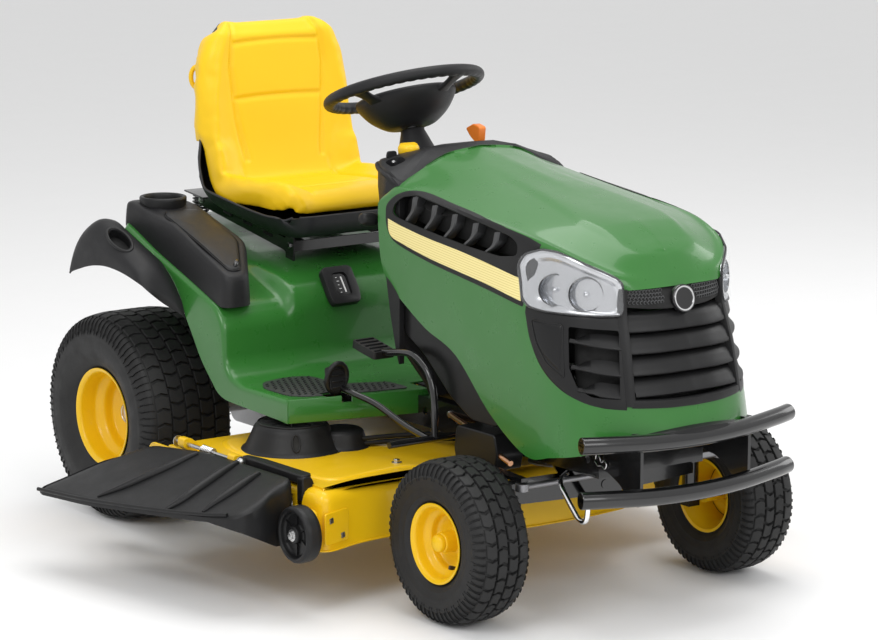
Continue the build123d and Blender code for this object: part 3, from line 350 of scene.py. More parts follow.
def tube(path, radius, n=16, ends=True):
    """A round bar along a path; radius may be a list with one value per point."""
    path, nrm, bi = frames(path)
    radii = np.full(len(path), radius, float) if np.isscalar(radius) else np.asarray(radius, float)
    ang = np.linspace(0, 2 * pi, n, endpoint=False)
    pts = path[:, None] + radii[:, None, None] * (np.cos(ang)[None, :, None] * nrm[:, None]
        + np.sin(ang)[None, :, None] * bi[:, None])
    v, f = grid(pts, close_v=True)
    if ends:
        f.append(tuple(range(n))[::-1])
        f.append(tuple(range(len(v) - n, len(v))))
    return v, f


def bar(a, b, radius, n=24):
    """A straight round bar."""
    return tube(np.linspace(a, b, 2), radius, n)


def bead(line, radius):
    """A thin round bead along a closed line."""
    return tube(np.concatenate([line, line[:1]]), radius, 8)


def disc_line(x, y, radius, n):
    """A circle's outline with n - 1 points."""
    return [(x + radius * cos(a), y + radius * sin(a)) for a in np.linspace(0, 2 * pi, n)[:-1]]


def level(outline, z):
    """A flat ring of points at height z over a 2D outline."""
    return np.column_stack([outline, np.full(len(outline), float(z))])


def stacked(rings, floor=False):
    """A skin over rings of points, closed at its last ring and, with floor, at its first one."""
    rings = np.array(rings)
    v, f = grid(rings, close_v=True)
    n = rings.shape[1]
    if floor:
        f.append(tuple(range(n))[::-1])
    f.append(tuple(range(len(v) - n, len(v))))
    return v, f


def left_normals(line):
    """Unit normals of a 2D line, to its left."""
    d = np.gradient(line, axis=0)
    d /= np.linalg.norm(d, axis=1)[:, None]
    return np.stack([-d[:, 1], d[:, 0]], 1)


def ease(t):
    """A smooth step from 0 to 1."""
    t = min(1.0, max(0.0, t))
    return t * t * (3 - 2 * t)


def prism(outline, axis, low, high):
    """A 2D outline pushed along an axis: x takes (y, z), y takes (x, z), z takes (x, y)."""
    o = np.asarray(outline, float)
    n = len(o)
    rows = []
    for h in (low, high):
        col = np.full(n, float(h))
        rows.append({"x": np.stack([col, o[:, 0], o[:, 1]], 1), "y": np.stack([o[:, 0], col, o[:, 1]], 1),
            "z": np.stack([o[:, 0], o[:, 1], col], 1)}[axis])
    v = np.concatenate(rows)
    f = [(i, (i + 1) % n, n + (i + 1) % n, n + i) for i in range(n)]
    f.append(tuple(range(n))[::-1])
    f.append(tuple(range(n, 2 * n)))
    return v, f


def brick(x0, x1, y0, y1, z0, z1):
    """A box between two corners."""
    return prism([(x0, y0), (x1, y0), (x1, y1), (x0, y1)], "z", z0, z1)


def hex_bolt(at, way, r=8, head=6):
    """A hexagon head on a washer, standing out along way."""
    way = np.asarray(way, float) / np.linalg.norm(way)
    at = np.asarray(at, float)
    parts = [tube([at, at + way * 1.8], r * 1.5, 24)]
    parts.append(tube([at + way * 1.5, at + way * (1.5 + head)], r, 6))
    parts.append(tube([at + way * (1.5 + head), at + way * (2.6 + head)], [r * 0.98, r * 0.8], 6))
    return join(parts)


def piece(name, part, mat, body, stands_for=(), smooth=35.0, bevel=0.0, recalc=True):
    """Makes one object from a part, gives it its finish and joins it to its body."""
    verts, faces = part
    mesh = bpy.data.meshes.new(name)
    mesh.from_pydata([tuple(v) for v in to_metres(verts)], [], [tuple(f) for f in faces])
    mesh.validate()
    obj = bpy.data.objects.new(name, mesh)
    bpy.context.scene.collection.objects.link(obj)
    mesh.materials.append(mat)
    if recalc:
        recalc_normals(obj)
    shade(obj, smooth)
    if bevel > 0:
        mod = obj.modifiers.new("edges", "BEVEL")
        mod.width = bevel / 1000
        mod.segments = 2
        mod.limit_method = "ANGLE"
        mod.angle_limit = math.radians(32)
        mod.harden_normals = False
    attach(obj, body)
    if stands_for:
        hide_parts(*stands_for)
    return obj


def recalc_normals(obj):
    """Merges double points and turns the faces outwards."""
    bm = bmesh.new()
    bm.from_mesh(obj.data)
    bmesh.ops.remove_doubles(bm, verts=bm.verts, dist=1e-6)
    bmesh.ops.recalc_face_normals(bm, faces=bm.faces)
    bm.to_mesh(obj.data)
    bm.free()


def shade(obj, angle):
    """Smooth shading with sharp edges over an angle in degrees."""
    for p in obj.data.polygons:
        p.use_smooth = True
    obj.data.set_sharp_from_angle(angle=math.radians(angle))


def cut(obj, parts):
    """Cuts closed parts out of an object, and removes the tools."""
    for part in parts:
        mesh = bpy.data.meshes.new("tool")
        mesh.from_pydata([tuple(v) for v in to_metres(part[0])], [], [tuple(f) for f in part[1]])
        tool = bpy.data.objects.new("tool", mesh)
        bpy.context.scene.collection.objects.link(tool)
        recalc_normals(tool)
        mod = obj.modifiers.new("cut", "BOOLEAN")
        mod.operation = "DIFFERENCE"
        mod.solver = "EXACT"
        mod.object = tool
        bake(obj)
        bpy.data.objects.remove(tool)


def bake(obj):
    """Turns an object's modifiers into its mesh."""
    dg = bpy.context.evaluated_depsgraph_get()
    dg.update()
    done = bpy.data.meshes.new_from_object(obj.evaluated_get(dg))
    old = obj.data
    obj.modifiers.clear()
    obj.data = done
    bpy.data.meshes.remove(old)


def paint(node, mat):
    """Gives a CAD node its material and shading."""
    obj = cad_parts[node]
    obj.data.materials.clear()
    obj.data.materials.append(mat)
    shade(obj, 35)


# ------------------------------------------------------------------ wheels
def tread_blocks(x_mid, side, centre_y, centre_z, radius, half, rows, count, wide, tall, height):
    """Raised chevron blocks in rows round the crown, every other row half a step on."""
    parts = []
    pitch = 2 * pi / count
    for j in range(rows):
        u0 = -half + j * (2 * half / rows) + 2.2
        u1 = u0 + 2 * half / rows - 4.4
        um = (u0 + u1) / 2
        lean = wide if j % 2 else -wide
        for k in range(count):
            mid = (k + 0.5 * (j % 2)) * pitch
            outline = [(u0, -tall), (um, -tall + lean), (u1, -tall), (u1, tall), (um, tall + lean),
                (u0, tall)]
            rings = []
            for lift, inset in ((-4, 0), (height - 1.6, 0), (height, 1.3)):
                ring = []
                for u, v in outline:
                    uu = u - math.copysign(inset, u - um) if abs(u - um) > 1 else u
                    vv = v - math.copysign(inset, v - (lean if abs(u - um) < 1 else 0))
                    drop = 7.0 * max(0.0, (abs(uu) / half - 0.45)) ** 2 / 0.3
                    r = radius - height + lift - drop
                    a = mid + vv / radius
                    ring.append((x_mid + side * uu, centre_y + r * cos(a), centre_z + r * sin(a)))
                rings.append(ring)
            n = len(outline)
            v = [p for ring in rings for p in ring]
            f = []
            for i in range(2):
                for m in range(n):
                    f.append((i * n + m, i * n + (m + 1) % n, (i + 1) * n + (m + 1) % n, (i + 1) * n + m))
            f.append((2 * n, 2 * n + 1, 2 * n + 4, 2 * n + 5))
            f.append((2 * n + 1, 2 * n + 2, 2 * n + 3, 2 * n + 4))
            parts.append((np.array(v), f))
    return parts


def shoulder_lugs(x_mid, side, centre_y, centre_z, path, count, width, height):
    """Bars that run over the shoulder onto the sidewall, long and short in turn."""
    parts = []
    for way in (1, -1):
        for k in range(count * 2):
            a0 = (k + 0.25) * pi / count
            steps = spline(path if k % 2 == 0 else path[:-1], 7)
            normal = -left_normals(steps)
            pts = []
            for i, (u, r) in enumerate(steps):
                taper = 1.0 if i < 5 else 0.75
                cols = []
                for v, lift in ((-width, -3), (-width * 0.8, height), (width * 0.8, height), (width, -3)):
                    lift = lift if i < 6 or lift < 0 else 0.5
                    uu = u + normal[i][0] * lift
                    rr = r + normal[i][1] * lift
                    a = a0 + v * taper / 200.0
                    cols.append((x_mid + side * way * uu, centre_y + rr * cos(a), centre_z + rr * sin(a)))
                pts.append(cols)
            parts.append(grid(np.array(pts)))
    return parts


def tyre_skin(x_mid, side, y, z, radius, width, bead_half, bead_r, wall_r):
    """The carcass: crown, rounded shoulders, sidewall rings and bead."""
    half = width / 2
    rise = radius - wall_r
    key = [(bead_half, bead_r), (bead_half + 1, wall_r), (bead_half + 8, wall_r + 7),
        (half * 0.97, wall_r + rise * 0.26)]
    key += [(half, wall_r + rise * 0.48), (half * 0.965, wall_r + rise * 0.70),
        (half * 0.88, radius - 15)]
    key += [(half * 0.74, radius - 9.5), (half * 0.40, radius - 7.2), (0, radius - 7)]
    line = spline(key, 46)
    ribs = line.copy()
    for u_at, size in ((wall_r + rise * 0.16, 1.6), (wall_r + rise * 0.36, 1.2),
            (wall_r + rise * 0.62, 1.4)):
        on = (line[:, 0] > bead_half + 2) & (line[:, 1] < radius - 12)
        ribs[:, 0] += np.where(on, size * np.exp(-(((line[:, 1] - u_at) / 1.9) ** 2)), 0)
    full = np.concatenate([ribs, (ribs * [-1, 1])[::-1][1:]])
    return lathe(full, (x_mid, y, z), "x", side, 120)


def valve(x, y, z, way):
    """A tyre's valve stem, standing out along way."""
    way = np.asarray(way, float) / np.linalg.norm(way)
    at = np.array([x, y, z], float)
    stem = tube([at, at + way * 6, at + way * 8, at + way * 18, at + way * 18.5, at + way * 27],
        [7, 6.5, 4.6, 4, 5, 4.8], 20)
    return stem


def make_wheels():
    """Tyres with their tread, rims, hub caps and valves."""
    for side, name in ((1, "left"), (-1, "right")):
        x, y, z = side * REAR_TRACK, 0, REAR_RADIUS
        skin = tyre_skin(x, side, y, z, REAR_RADIUS, width=250, bead_half=99.9, bead_r=112, wall_r=122)
        blocks = tread_blocks(x, side, y, z, REAR_RADIUS, half=100, rows=5, count=44, wide=5.5, tall=15.2,
            height=6.5)
        lugs = shoulder_lugs(x, side, y, z, [(101, 243), (109, 238), (116, 229), (121, 214), (122, 203)],
            count=44, width=7.6, height=4.2)
        piece(f"rear_tyre_{name}_full", join([skin, *blocks, *lugs]), RUBBER, f"rear_wheel_{name}",
            stands_for=[f"rear_tyre_{name}"], smooth=40, recalc=False)
        rear_rim(side, name)
        x, y, z = side * FRONT_TRACK, FRONT_AXLE, FRONT_RADIUS
        skin = tyre_skin(x, side, y, z, FRONT_RADIUS, width=144, bead_half=56.3, bead_r=82.4, wall_r=91)
        blocks = tread_blocks(x, side, y, z, FRONT_RADIUS, half=56, rows=4, count=32, wide=5.2, tall=14.6,
            height=6.5)
        lugs = shoulder_lugs(x, side, y, z, [(56, 174.5), (62, 169), (66.5, 161), (69.5, 150), (70, 141)],
            count=32, width=8.0, height=4.2)
        piece(f"front_tyre_{name}_full", join([skin, *blocks, *lugs]), RUBBER, f"front_wheel_{name}",
            stands_for=[f"front_tyre_{name}"], smooth=40, recalc=False)
        front_rim(side, name)


def rear_rim(side, name):
    """A deep dished rim with its hub, washer and valve."""
    at = (side * REAR_TRACK, 0, REAR_RADIUS)
    outer = [(100, 109), (102, 112), (103, 117), (105.5, 120), (108, 119.6), (107, 115.5), (103.5, 110),
        (97, 107.4)]
    outer += [(76, 105.6), (64, 104.2), (58, 100), (49, 90), (42, 87), (31, 86.2), (24, 84), (20, 78),
        (16, 70), (11, 58)]
    outer += [(8, 50), (7, 40), (7.5, 30)]
    front = spline(outer, 90)
    back = [(-103, 118), (-101, 109), (-84, 105), (-63, 89), (20, 88)]
    parts = [lathe(front, at, "x", side, 96), lathe(back, at, "x", side, 72)]
    hub = [(7, 30), (9, 27.5), (30, 27), (33.5, 26), (35, 23.5), (35.5, 14), (35.5, 11)]
    parts.append(lathe(hub, at, "x", side, 48))
    piece(f"rear_rim_{name}_full", join(parts), YELLOW_PAINT, f"rear_wheel_{name}",
        stands_for=[f"rear_rim_{name}"], smooth=50)
    cap = [(35.5, 16), (37.5, 17.5), (39.5, 17), (41, 13), (41.4, 0.4)]
    ring = [(36, 20), (38, 22), (37.8, 24), (35.6, 24.5)]
    whole = join([lathe(cap, at, "x", side, 32), lathe(ring, at, "x", side, 48)])
    piece(f"rear_hub_washer_{name}", whole, ZINC, f"rear_wheel_{name}")
    a = math.radians(250)
    stem = valve(side * (REAR_TRACK + 34), 92 * cos(a), REAR_RADIUS + 92 * sin(a),
        (side, -0.25 * cos(a), -0.25 * sin(a)))
    piece(f"rear_valve_{name}", stem, GASKET, f"rear_wheel_{name}")


def front_rim(side, name):
    """A small dished rim with its hub, cap and valve."""
    at = (side * FRONT_TRACK, FRONT_AXLE, FRONT_RADIUS)
    outer = [(57, 80), (58.6, 84), (60, 87.6), (62.3, 90), (64.3, 89.4), (63.6, 86), (60.6, 80.8),
        (55, 78.4), (44, 76.4)]
    outer += [(37, 73.5), (29, 63.5), (23, 61.2), (15, 60), (11, 55), (9.5, 47), (11, 38), (14, 32),
        (16.5, 26), (17, 24)]
    front = spline(outer, 84)
    back = [(-59.5, 87), (-58, 80), (-44, 75.6), (-28, 62.6), (14, 61)]
    parts = [lathe(front, at, "x", side, 80), lathe(back, at, "x", side, 60)]
    hub = spline([(16, 26), (20, 23.6), (32, 22.8), (44, 22.4), (47, 21), (48, 18.4), (48.2, 17.5)], 24)
    parts.append(lathe(hub, at, "x", side, 48))
    cap = spline([(48, 19.5), (50, 20.2), (56, 19.4), (60, 17), (63, 12), (64.4, 6), (64.8, 0.4)], 24)
    parts.append(lathe(cap, at, "x", side, 48))
    sleeve = [(-60, 9.6), (-60, 17), (16, 17)]
    parts.append(lathe(sleeve, at, "x", side, 32))
    piece(f"front_rim_{name}_full", join(parts), YELLOW_PAINT, f"front_wheel_{name}",
        stands_for=[f"front_rim_{name}"], smooth=50)
    a = math.radians(236)
    stem = valve(side * (FRONT_TRACK + 22), FRONT_AXLE + 66 * cos(a), FRONT_RADIUS + 66 * sin(a),
        (side, -0.3 * cos(a), -0.3 * sin(a)))
    piece(f"front_valve_{name}", stem, GASKET, f"front_wheel_{name}")


# ------------------------------------------------------------------ hood
# The hood's right half as rows of points: from its lower edge, up its side and over to the ridge.
# Each row runs from the dash to the middle of the nose.
HOOD_NET = [
    [(-238, -775, 668), (-240, -828, 640), (-243, -930, 588), (-246, -1050, 545), (-248, -1180, 435),
        (-250, -1310, 366), (-251, -1400, 378), (-232, -1492, 398), (-165, -1556, 424), (-85, -1590, 440),
        (0, -1600, 444)],
    [(-243, -757, 722), (-243, -827, 700), (-246, -930, 655), (-249, -1050, 610), (-250, -1180, 530),
        (-250, -1310, 480), (-246, -1400, 482), (-222, -1488, 485), (-158, -1550, 488), (-80, -1580, 490),
        (0, -1588, 490)],
    [(-246, -752, 790), (-246, -826, 780), (-248, -930, 730), (-250, -1050, 690), (-250, -1180, 640),
        (-250, -1300, 625), (-240, -1390, 615), (-212, -1465, 610), (-150, -1528, 606), (-78, -1560, 604),
        (0, -1568, 604)],
    [(-248, -753, 838), (-248, -826, 850), (-249, -930, 825), (-250, -1050, 795), (-250, -1170, 770),
        (-248, -1285, 745), (-232, -1375, 725), (-200, -1445, 712), (-140, -1502, 704), (-72, -1536, 700),
        (0, -1544, 700)],
    [(-247, -760, 860), (-247, -826, 889), (-249, -930, 878), (-250, -1050, 866), (-248, -1170, 855),
        (-244, -1285, 842), (-226, -1375, 824), (-200, -1440, 800), (-142, -1494, 768), (-76, -1508, 757),
        (0, -1512, 753)],
    [(-231, -792, 889), (-228, -826, 904), (-229, -930, 893), (-228, -1050, 880), (-225, -1170, 868),
        (-218, -1285, 852), (-203, -1365, 832), (-178, -1425, 812), (-132, -1476, 790), (-72, -1494, 781),
        (0, -1498, 778)],
    [(-154, -814, 937), (-152, -826, 934), (-150, -930, 919), (-147, -1050, 905), (-142, -1170, 890),
        (-136, -1285, 874), (-128, -1352, 862), (-116, -1405, 846), (-100, -1450, 826), (-60, -1475, 812),
        (0, -1482, 806)],
    [(-91, -815, 960), (-90, -826, 958), (-88, -930, 938), (-86, -1050, 918), (-82, -1170, 901),
        (-78, -1285, 883), (-72, -1350, 870), (-64, -1400, 855), (-52, -1442, 836), (-32, -1466, 822),
        (0, -1474, 816)],
    [(0, -815, 970), (0, -826, 968), (0, -930, 950), (0, -1050, 928), (0, -1170, 904), (0, -1285, 884),
        (0, -1350, 872), (0, -1400, 860), (0, -1440, 842), (0, -1462, 828), (0, -1472, 820)],
]


def smooth_net(net, steps):
    """Points of a smooth surface through a net, with the same number of steps in every span."""
    g = through(np.array(net, float), steps)
    return np.swapaxes(through(np.swapaxes(g, 0, 1), steps), 0, 1)


def hood_surface():
    """The whole hood skin: right half, then the left half mirrored."""
    right = smooth_net(HOOD_NET, 7)
    x, y = right[..., 0], right[..., 1]
    edge = np.interp(-y, [835, 971, 1152, 1331, 1420], [60, 68, 92, 118, 104])
    t = np.clip((edge - np.abs(x)) / 16 + 0.5, 0, 1)
    fade = np.clip((-y - 900) / 240, 0, 1) * np.clip((1440 + y) / 60, 0, 1)
    right[..., 2] += 5.5 * t * t * (3 - 2 * t) * fade
    left = right[:, ::-1] * np.array([-1, 1, 1])
    return np.concatenate([right, left[:, 1:]], 1)


SKIN_V, SKIN_F = grid(hood_surface())
SKIN_TREE = BVHTree.FromPolygons([Vector(p) for p in SKIN_V], SKIN_F)
SIDE, CORNER, FRONT = "side", "corner", "front"
DIAGONAL = 0.70711


def on_skin(points, view, lift=0.0, side=-1):
    """Places 2D points on the hood: side takes (y, z), corner (q, z) along the diagonal, front (x, z)."""
    out = []
    for a, z in np.asarray(points, float).reshape(-1, 2):
        if view == SIDE:
            origin, way = Vector((-600, a, z)), Vector((1, 0, 0))
        elif view == CORNER:
            way = Vector((DIAGONAL, DIAGONAL, 0))
            origin = Vector((-DIAGONAL * a, DIAGONAL * a, z)) - way * 1500
        else:
            origin, way = Vector((a, -2000, z)), Vector((0, 1, 0))
        spot, normal, _, _ = SKIN_TREE.ray_cast(origin, way)
        if spot is None:
            spot, normal, _, _ = SKIN_TREE.find_nearest(origin + way * 500)
        if normal.dot(way) > 0:
            normal = -normal
        p = np.array(spot) + np.array(normal) * lift
        out.append(p * np.array([1 if side < 0 else -1, 1, 1]))
    return np.array(out)


def once(side, node):
    """The node that a mirrored pair stands for, named by its right piece alone."""
    return [node] if side < 0 else ()


def pad(top, bottom, view, lift, thick, across=14, along=48, side=-1, edge=2.0, dish=None):
    """A raised pad on the hood between an upper and a lower line, with rounded edges."""
    t_line, b_line = spline(top, along), spline(bottom, along)
    rows = [0.0, 0.0, 0.02, 0.06, *np.linspace(0.12, 0.88, across), 0.94, 0.98, 1.0, 1.0]
    drops = [thick, edge, edge * 0.3, 0, *([0] * across), 0, edge * 0.3, edge, thick]
    ends = np.ones(along)
    ends[0] = ends[-1] = 0
    pts = []
    for t, drop in zip(rows, drops):
        line = t_line * (1 - t) + b_line * t
        base = on_skin(line, view, 0.0, side)
        high = on_skin(line, view, 1.0, side) - base
        rise = lift - np.where(ends > 0, drop, thick)
        if dish is not None:
            s = np.linspace(0, 1, along)
            rise = rise - dish(s, t) * (ends > 0)
        pts.append(base + high * rise[:, None])
    pts = np.array(pts)
    v, f = grid(pts)
    back = np.array([on_skin(t_line * (1 - t) + b_line * t, view, lift - thick, side)
        for t in (0.0, 0.5, 1.0)])
    bv, bf = grid(back[::-1])
    return join([(v, f), (bv, bf)])


def closed_prism(points, view, inner, outer, side=-1):
    """A cutting tool over a 2D outline, from below the skin to above it."""
    o = np.asarray(points, float)
    n = len(o)
    base = on_skin(o, view, 0.0, side)
    if view == SIDE:
        way = np.array([1.0 if side < 0 else -1.0, 0, 0])
    elif view == CORNER:
        way = np.array([DIAGONAL if side < 0 else -DIAGONAL, DIAGONAL, 0])
    else:
        way = np.array([0, 1.0, 0])
    v = np.concatenate([base - way * outer, base + way * inner])
    f = [(i, (i + 1) % n, n + (i + 1) % n, n + i) for i in range(n)]
    f += [tuple(range(n))[::-1], tuple(range(n, 2 * n))]
    return v, f


VENT = [(-808, 836), (-818, 858), (-852, 880), (-900, 889), (-1021, 875), (-1137, 860), (-1250, 844),
    (-1278, 830), (-1276, 801), (-1214, 792), (-1106, 798), (-994, 808), (-897, 818), (-830, 827)]
LAMP = [(-739, 752), (-733, 787), (-748, 812), (-786, 826), (-825, 823), (-892, 799), (-950, 773),
    (-961, 762), (-965, 735), (-967, 706), (-960, 694), (-916, 692), (-850, 693), (-793, 693),
    (-757, 698), (-742, 715)]
SIDE_GRILLE = [(-748, 686), (-960, 682), (-966, 676), (-975, 540), (-980, 506), (-962, 500), (-935, 500),
    (-889, 509), (-832, 531), (-788, 570), (-760, 625)]
NOSE = [(-134, 748), (134, 748), (142, 730), (152, 508), (146, 502), (-146, 502), (-152, 508),
    (-142, 730)]


def make_hood():
    """The green skin with its openings, and all that sits in them."""
    shell = piece("hood_skin", (SKIN_V, SKIN_F), GREEN_PAINT, "hood",
        stands_for=["hood_shell"], smooth=28)
    shelled(shell, 3.5)
    recalc_normals(shell)
    tools = [closed_prism(NOSE, FRONT, inner=70, outer=60)]
    for side in (-1, 1):
        tools.append(closed_prism(rounded(VENT, 12), SIDE, inner=60, outer=30, side=side))
        tools.append(closed_prism(rounded(LAMP, 8), CORNER, inner=60, outer=40, side=side))
        tools.append(closed_prism(rounded(SIDE_GRILLE, 10), CORNER, inner=60, outer=40, side=side))
    cut(shell, tools)
    shade(shell, 28)
    for side, name in ((-1, "right"), (1, "left")):
        hood_side(side, name)
        lamp(side, name)
        side_grille(side, name)
    nose_grille()


def hood_side(side, name):
    """Black bezel round the vent, its curved fins, a near-black sheet of painted shade deep behind them,
    and the pale stripe below.
    """
    top = [(-786, 836), (-794, 858), (-838, 884), (-900, 895), (-1037, 880), (-1188, 863), (-1292, 848),
        (-1345, 834)]
    low = [(-786, 828), (-787, 806), (-798, 784), (-832, 766), (-955, 743), (-1069, 728), (-1179, 713),
        (-1300, 694)]
    bezel = piece(f"vent_bezel_{name}", pad(top, low, SIDE, lift=2.6, thick=5.7, across=20, along=70,
        side=side, edge=1.0), BLACK_PLASTIC, "hood",
        stands_for=once(side, "hood_side_vents"), smooth=40)
    cut(bezel, [closed_prism(rounded(VENT, 10), SIDE, inner=30, outer=30, side=side)])
    shade(bezel, 40)
    rim = on_skin(rounded(VENT, 14), SIDE, 0.6, side)
    piece(f"vent_rim_{name}", bead(rim, 2.2), BLACK_PLASTIC, "hood")
    v_top = [(-806, 840), (-850, 884), (-905, 890), (-1021, 877), (-1137, 862), (-1240, 847),
        (-1284, 832)]
    v_low = [(-804, 832), (-897, 816), (-994, 806), (-1106, 796), (-1214, 790), (-1284, 798)]
    # Painted shade: a near-black sheet set deep behind the vent, where only shadow falls.
    shade_sheet = pad(v_top, v_low, SIDE, lift=-34, thick=4, across=6, along=30, side=side, edge=1)
    piece(f"vent_duct_{name}", shade_sheet, PAINTED_SHADE_BLACK, "hood")
    fins = []
    for i in range(5):
        y0 = -878 - i * 76
        line = spline([(y0 + 26, 812 - i * 5), (y0 + 8, 830 - i * 7), (y0 - 14, 854 - i * 9),
            (y0 - 22, 886 - i * 10)], 14)
        front = on_skin(line, SIDE, -1.5, side)
        back = on_skin(line + np.array([15, -3]), SIDE, -4, side)
        deep = on_skin(line + np.array([19, -4]), SIDE, -33, side)
        edge = on_skin(line + np.array([-3, 0]), SIDE, -5, side)
        under = on_skin(line + np.array([3, -1]), SIDE, -33, side)
        fins.append(grid(np.array([edge, front, back, deep, under]), close_u=True))
    piece(f"vent_fins_{name}", join(fins), FIN_GREY, "hood", smooth=50)
    s_top = [(-793, 822), (-850, 811), (-955, 797), (-1069, 786), (-1178, 772), (-1283, 756)]
    s_low = [(-793, 802), (-806, 782), (-850, 771), (-955, 753), (-1069, 739), (-1179, 725), (-1293, 706)]
    piece(f"side_stripe_{name}", pad(s_top, s_low, SIDE, lift=3.6, thick=1.2, across=8, along=60,
        side=side, edge=0.3), STRIPE, "hood")


def lamp(side, name):
    """Headlight: white tray, chrome bowls and bulb, and the clear cover."""
    top = [(-740, 742), (-733, 787), (-748, 812), (-786, 826), (-825, 823), (-892, 799), (-952, 772),
        (-963, 745)]
    low = [(-741, 735), (-743, 715), (-757, 698), (-793, 693), (-850, 693), (-916, 692), (-958, 694),
        (-966, 712)]

    def bowl(s, t):
        return 20 * np.exp(-(((s - 0.58) / 0.33) ** 6)) * np.exp(-(((t - 0.52) / 0.36) ** 6))

    tray = pad(top, low, CORNER, lift=4.6, thick=9, across=26, along=70, side=side, edge=1.2, dish=bowl)
    piece(f"lamp_tray_{name}", tray, LAMP_WHITE, "hood",
        stands_for=once(side, "headlight_housings"), smooth=60)
    rim = on_skin(rounded(LAMP, 9), CORNER, 4.0, side)
    piece(f"lamp_gasket_{name}", bead(rim, 2.6), GASKET, "hood")
    out = np.array([side * 0.60, -0.80, 0.06])
    shells, darks, bulbs = [], [], []
    for q, z, r in ((-812, 742, 33), (-884, 738, 36)):
        at = on_skin([(q, z)], CORNER, -4, side)[0]
        steps = [(-16, 0.5), (-15, r * 0.3), (-11, r * 0.5), (-11.5, r * 0.54), (-5, r * 0.76),
            (-5.5, r * 0.8), (3, r * 0.97), (6, r), (3, r * 1.05)]
        shells.append(on_face(lathe(steps, (0, 0, 0), "z", 1, 16), at, out, (0, 0, 1)))
        darks.append(on_face(lathe([(3.4, r * 0.96), (6.6, r), (5.6, r * 1.06), (2.4, r * 1.06)],
            (0, 0, 0), "z", 1, 40), at, out, (0, 0, 1)))
        glass = spline([(-16, 7), (-4, 7), (2, 6), (10, 5), (13, 2.5), (13.4, 0.4)], 16)
        bulbs.append(on_face(lathe(glass, (0, 0, 0), "z", 1, 20), at, out, (0, 0, 1)))
        darks.append(on_face(lathe([(-15.8, 12), (-9, 11.5), (-8, 9), (-8, 7)], (0, 0, 0), "z", 1, 24),
            at, out, (0, 0, 1)))
    # The bowls' dark, patchy chrome is painted reflection.
    piece(f"lamp_bowls_{name}", join(shells), CHROME_PAINTED_REFLECTION, "hood", smooth=20)
    piece(f"lamp_rings_{name}", join(darks), BLACK_GLOSS, "hood", smooth=50)
    piece(f"lamp_bulbs_{name}", join(bulbs), LAMP_WHITE, "hood", smooth=50)
    ribs = []
    for k in range(5):
        z = 738 - k * 9
        line = on_skin([(-748 - k * 0.8, z), (-756 - k, z - 0.5), (-765 - k, z - 1)], CORNER, -3.5, side)
        ribs.append(tube(line, 1.0, 8))
    for k in range(9):
        q = -905 - k * 5.2
        line = on_skin([(q, 706), (q - 2, 735), (q - 4, 762)], CORNER, -7, side)
        ribs.append(tube(line, 0.9, 6))
    piece(f"lamp_ribs_{name}", join(ribs), CHROME, "hood")
    cover = pad(top, low, CORNER, lift=11.0, thick=6.0, across=14, along=60, side=side, edge=3.0)
    piece(f"lamp_cover_{name}", cover, LENS, "hood",
        stands_for=once(side, "headlight_lenses"), smooth=60)


def side_grille(side, name):
    """Black panel under the lamp with two pointed fins and a flat field."""
    top = [(-745, 698), (-800, 694), (-880, 694), (-977, 694)]
    low = [(-746, 688), (-759, 625), (-787, 569), (-832, 530), (-889, 508), (-940, 499), (-986, 496)]
    frame_pad = piece(f"side_grille_{name}", pad(top, low, CORNER, lift=1.5, thick=8, across=22, along=60,
        side=side, edge=2.0), BLACK_PLASTIC, "hood", stands_for=once(side, "hood_grille"),
        smooth=40)
    window = rounded([(-848, 668), (-958, 664), (-966, 520), (-905, 523), (-872, 540), (-852, 580)], 7)
    field = rounded([(-762, 672), (-836, 670), (-842, 556), (-800, 582), (-775, 622)], 9)
    cut(frame_pad, [closed_prism(window, CORNER, inner=30, outer=30, side=side)])
    shade(frame_pad, 40)
    piece(f"side_field_{name}", pad([(-766, 668), (-800, 668), (-834, 667)],
        [(-766, 664), (-789, 606), (-836, 566)], CORNER, lift=3.0, thick=3.0, across=12, along=30,
        side=side, edge=1.4), BLACK_SATIN, "hood", smooth=50)
    edge = on_skin(field, CORNER, 1.8, side)
    piece(f"side_field_edge_{name}", bead(edge, 1.6), BLACK_PLASTIC, "hood")
    # Painted shade: a near-black sheet behind the grille window, where only shadow falls.
    piece(f"side_grille_shade_fill_{name}",
        pad([(-846, 672), (-970, 668)], [(-846, 540), (-870, 520), (-972, 508)], CORNER, lift=-30,
            thick=3, across=6, along=20, side=side, edge=1), PAINTED_SHADE_BLACK, "hood")
    fins = []
    for z, reach in ((640, 0), (585, 6), (538, 22)):
        tip = np.array([(-852 - reach, z - 3), (-884 - reach, z + 14), (-925, z + 17), (-964, z + 13)])
        lip = np.array([(-852 - reach, z - 6), (-884 - reach, z - 9), (-925, z - 14), (-966, z - 18)])
        t_line, l_line = spline(tip, 16), spline(lip, 16)
        rows = [on_skin(t_line, CORNER, -26, side), on_skin(t_line, CORNER, -14, side),
            on_skin(l_line + [0, 9], CORNER, -1, side), on_skin(l_line + [0, 2], CORNER, 3.5, side),
            on_skin(l_line, CORNER, 1.5, side), on_skin(l_line + [0, 3], CORNER, -26, side)]
        fins.append(grid(np.array(rows), close_u=True))
    piece(f"side_grille_fins_{name}", join(fins), BLACK_PLASTIC, "hood", smooth=50)


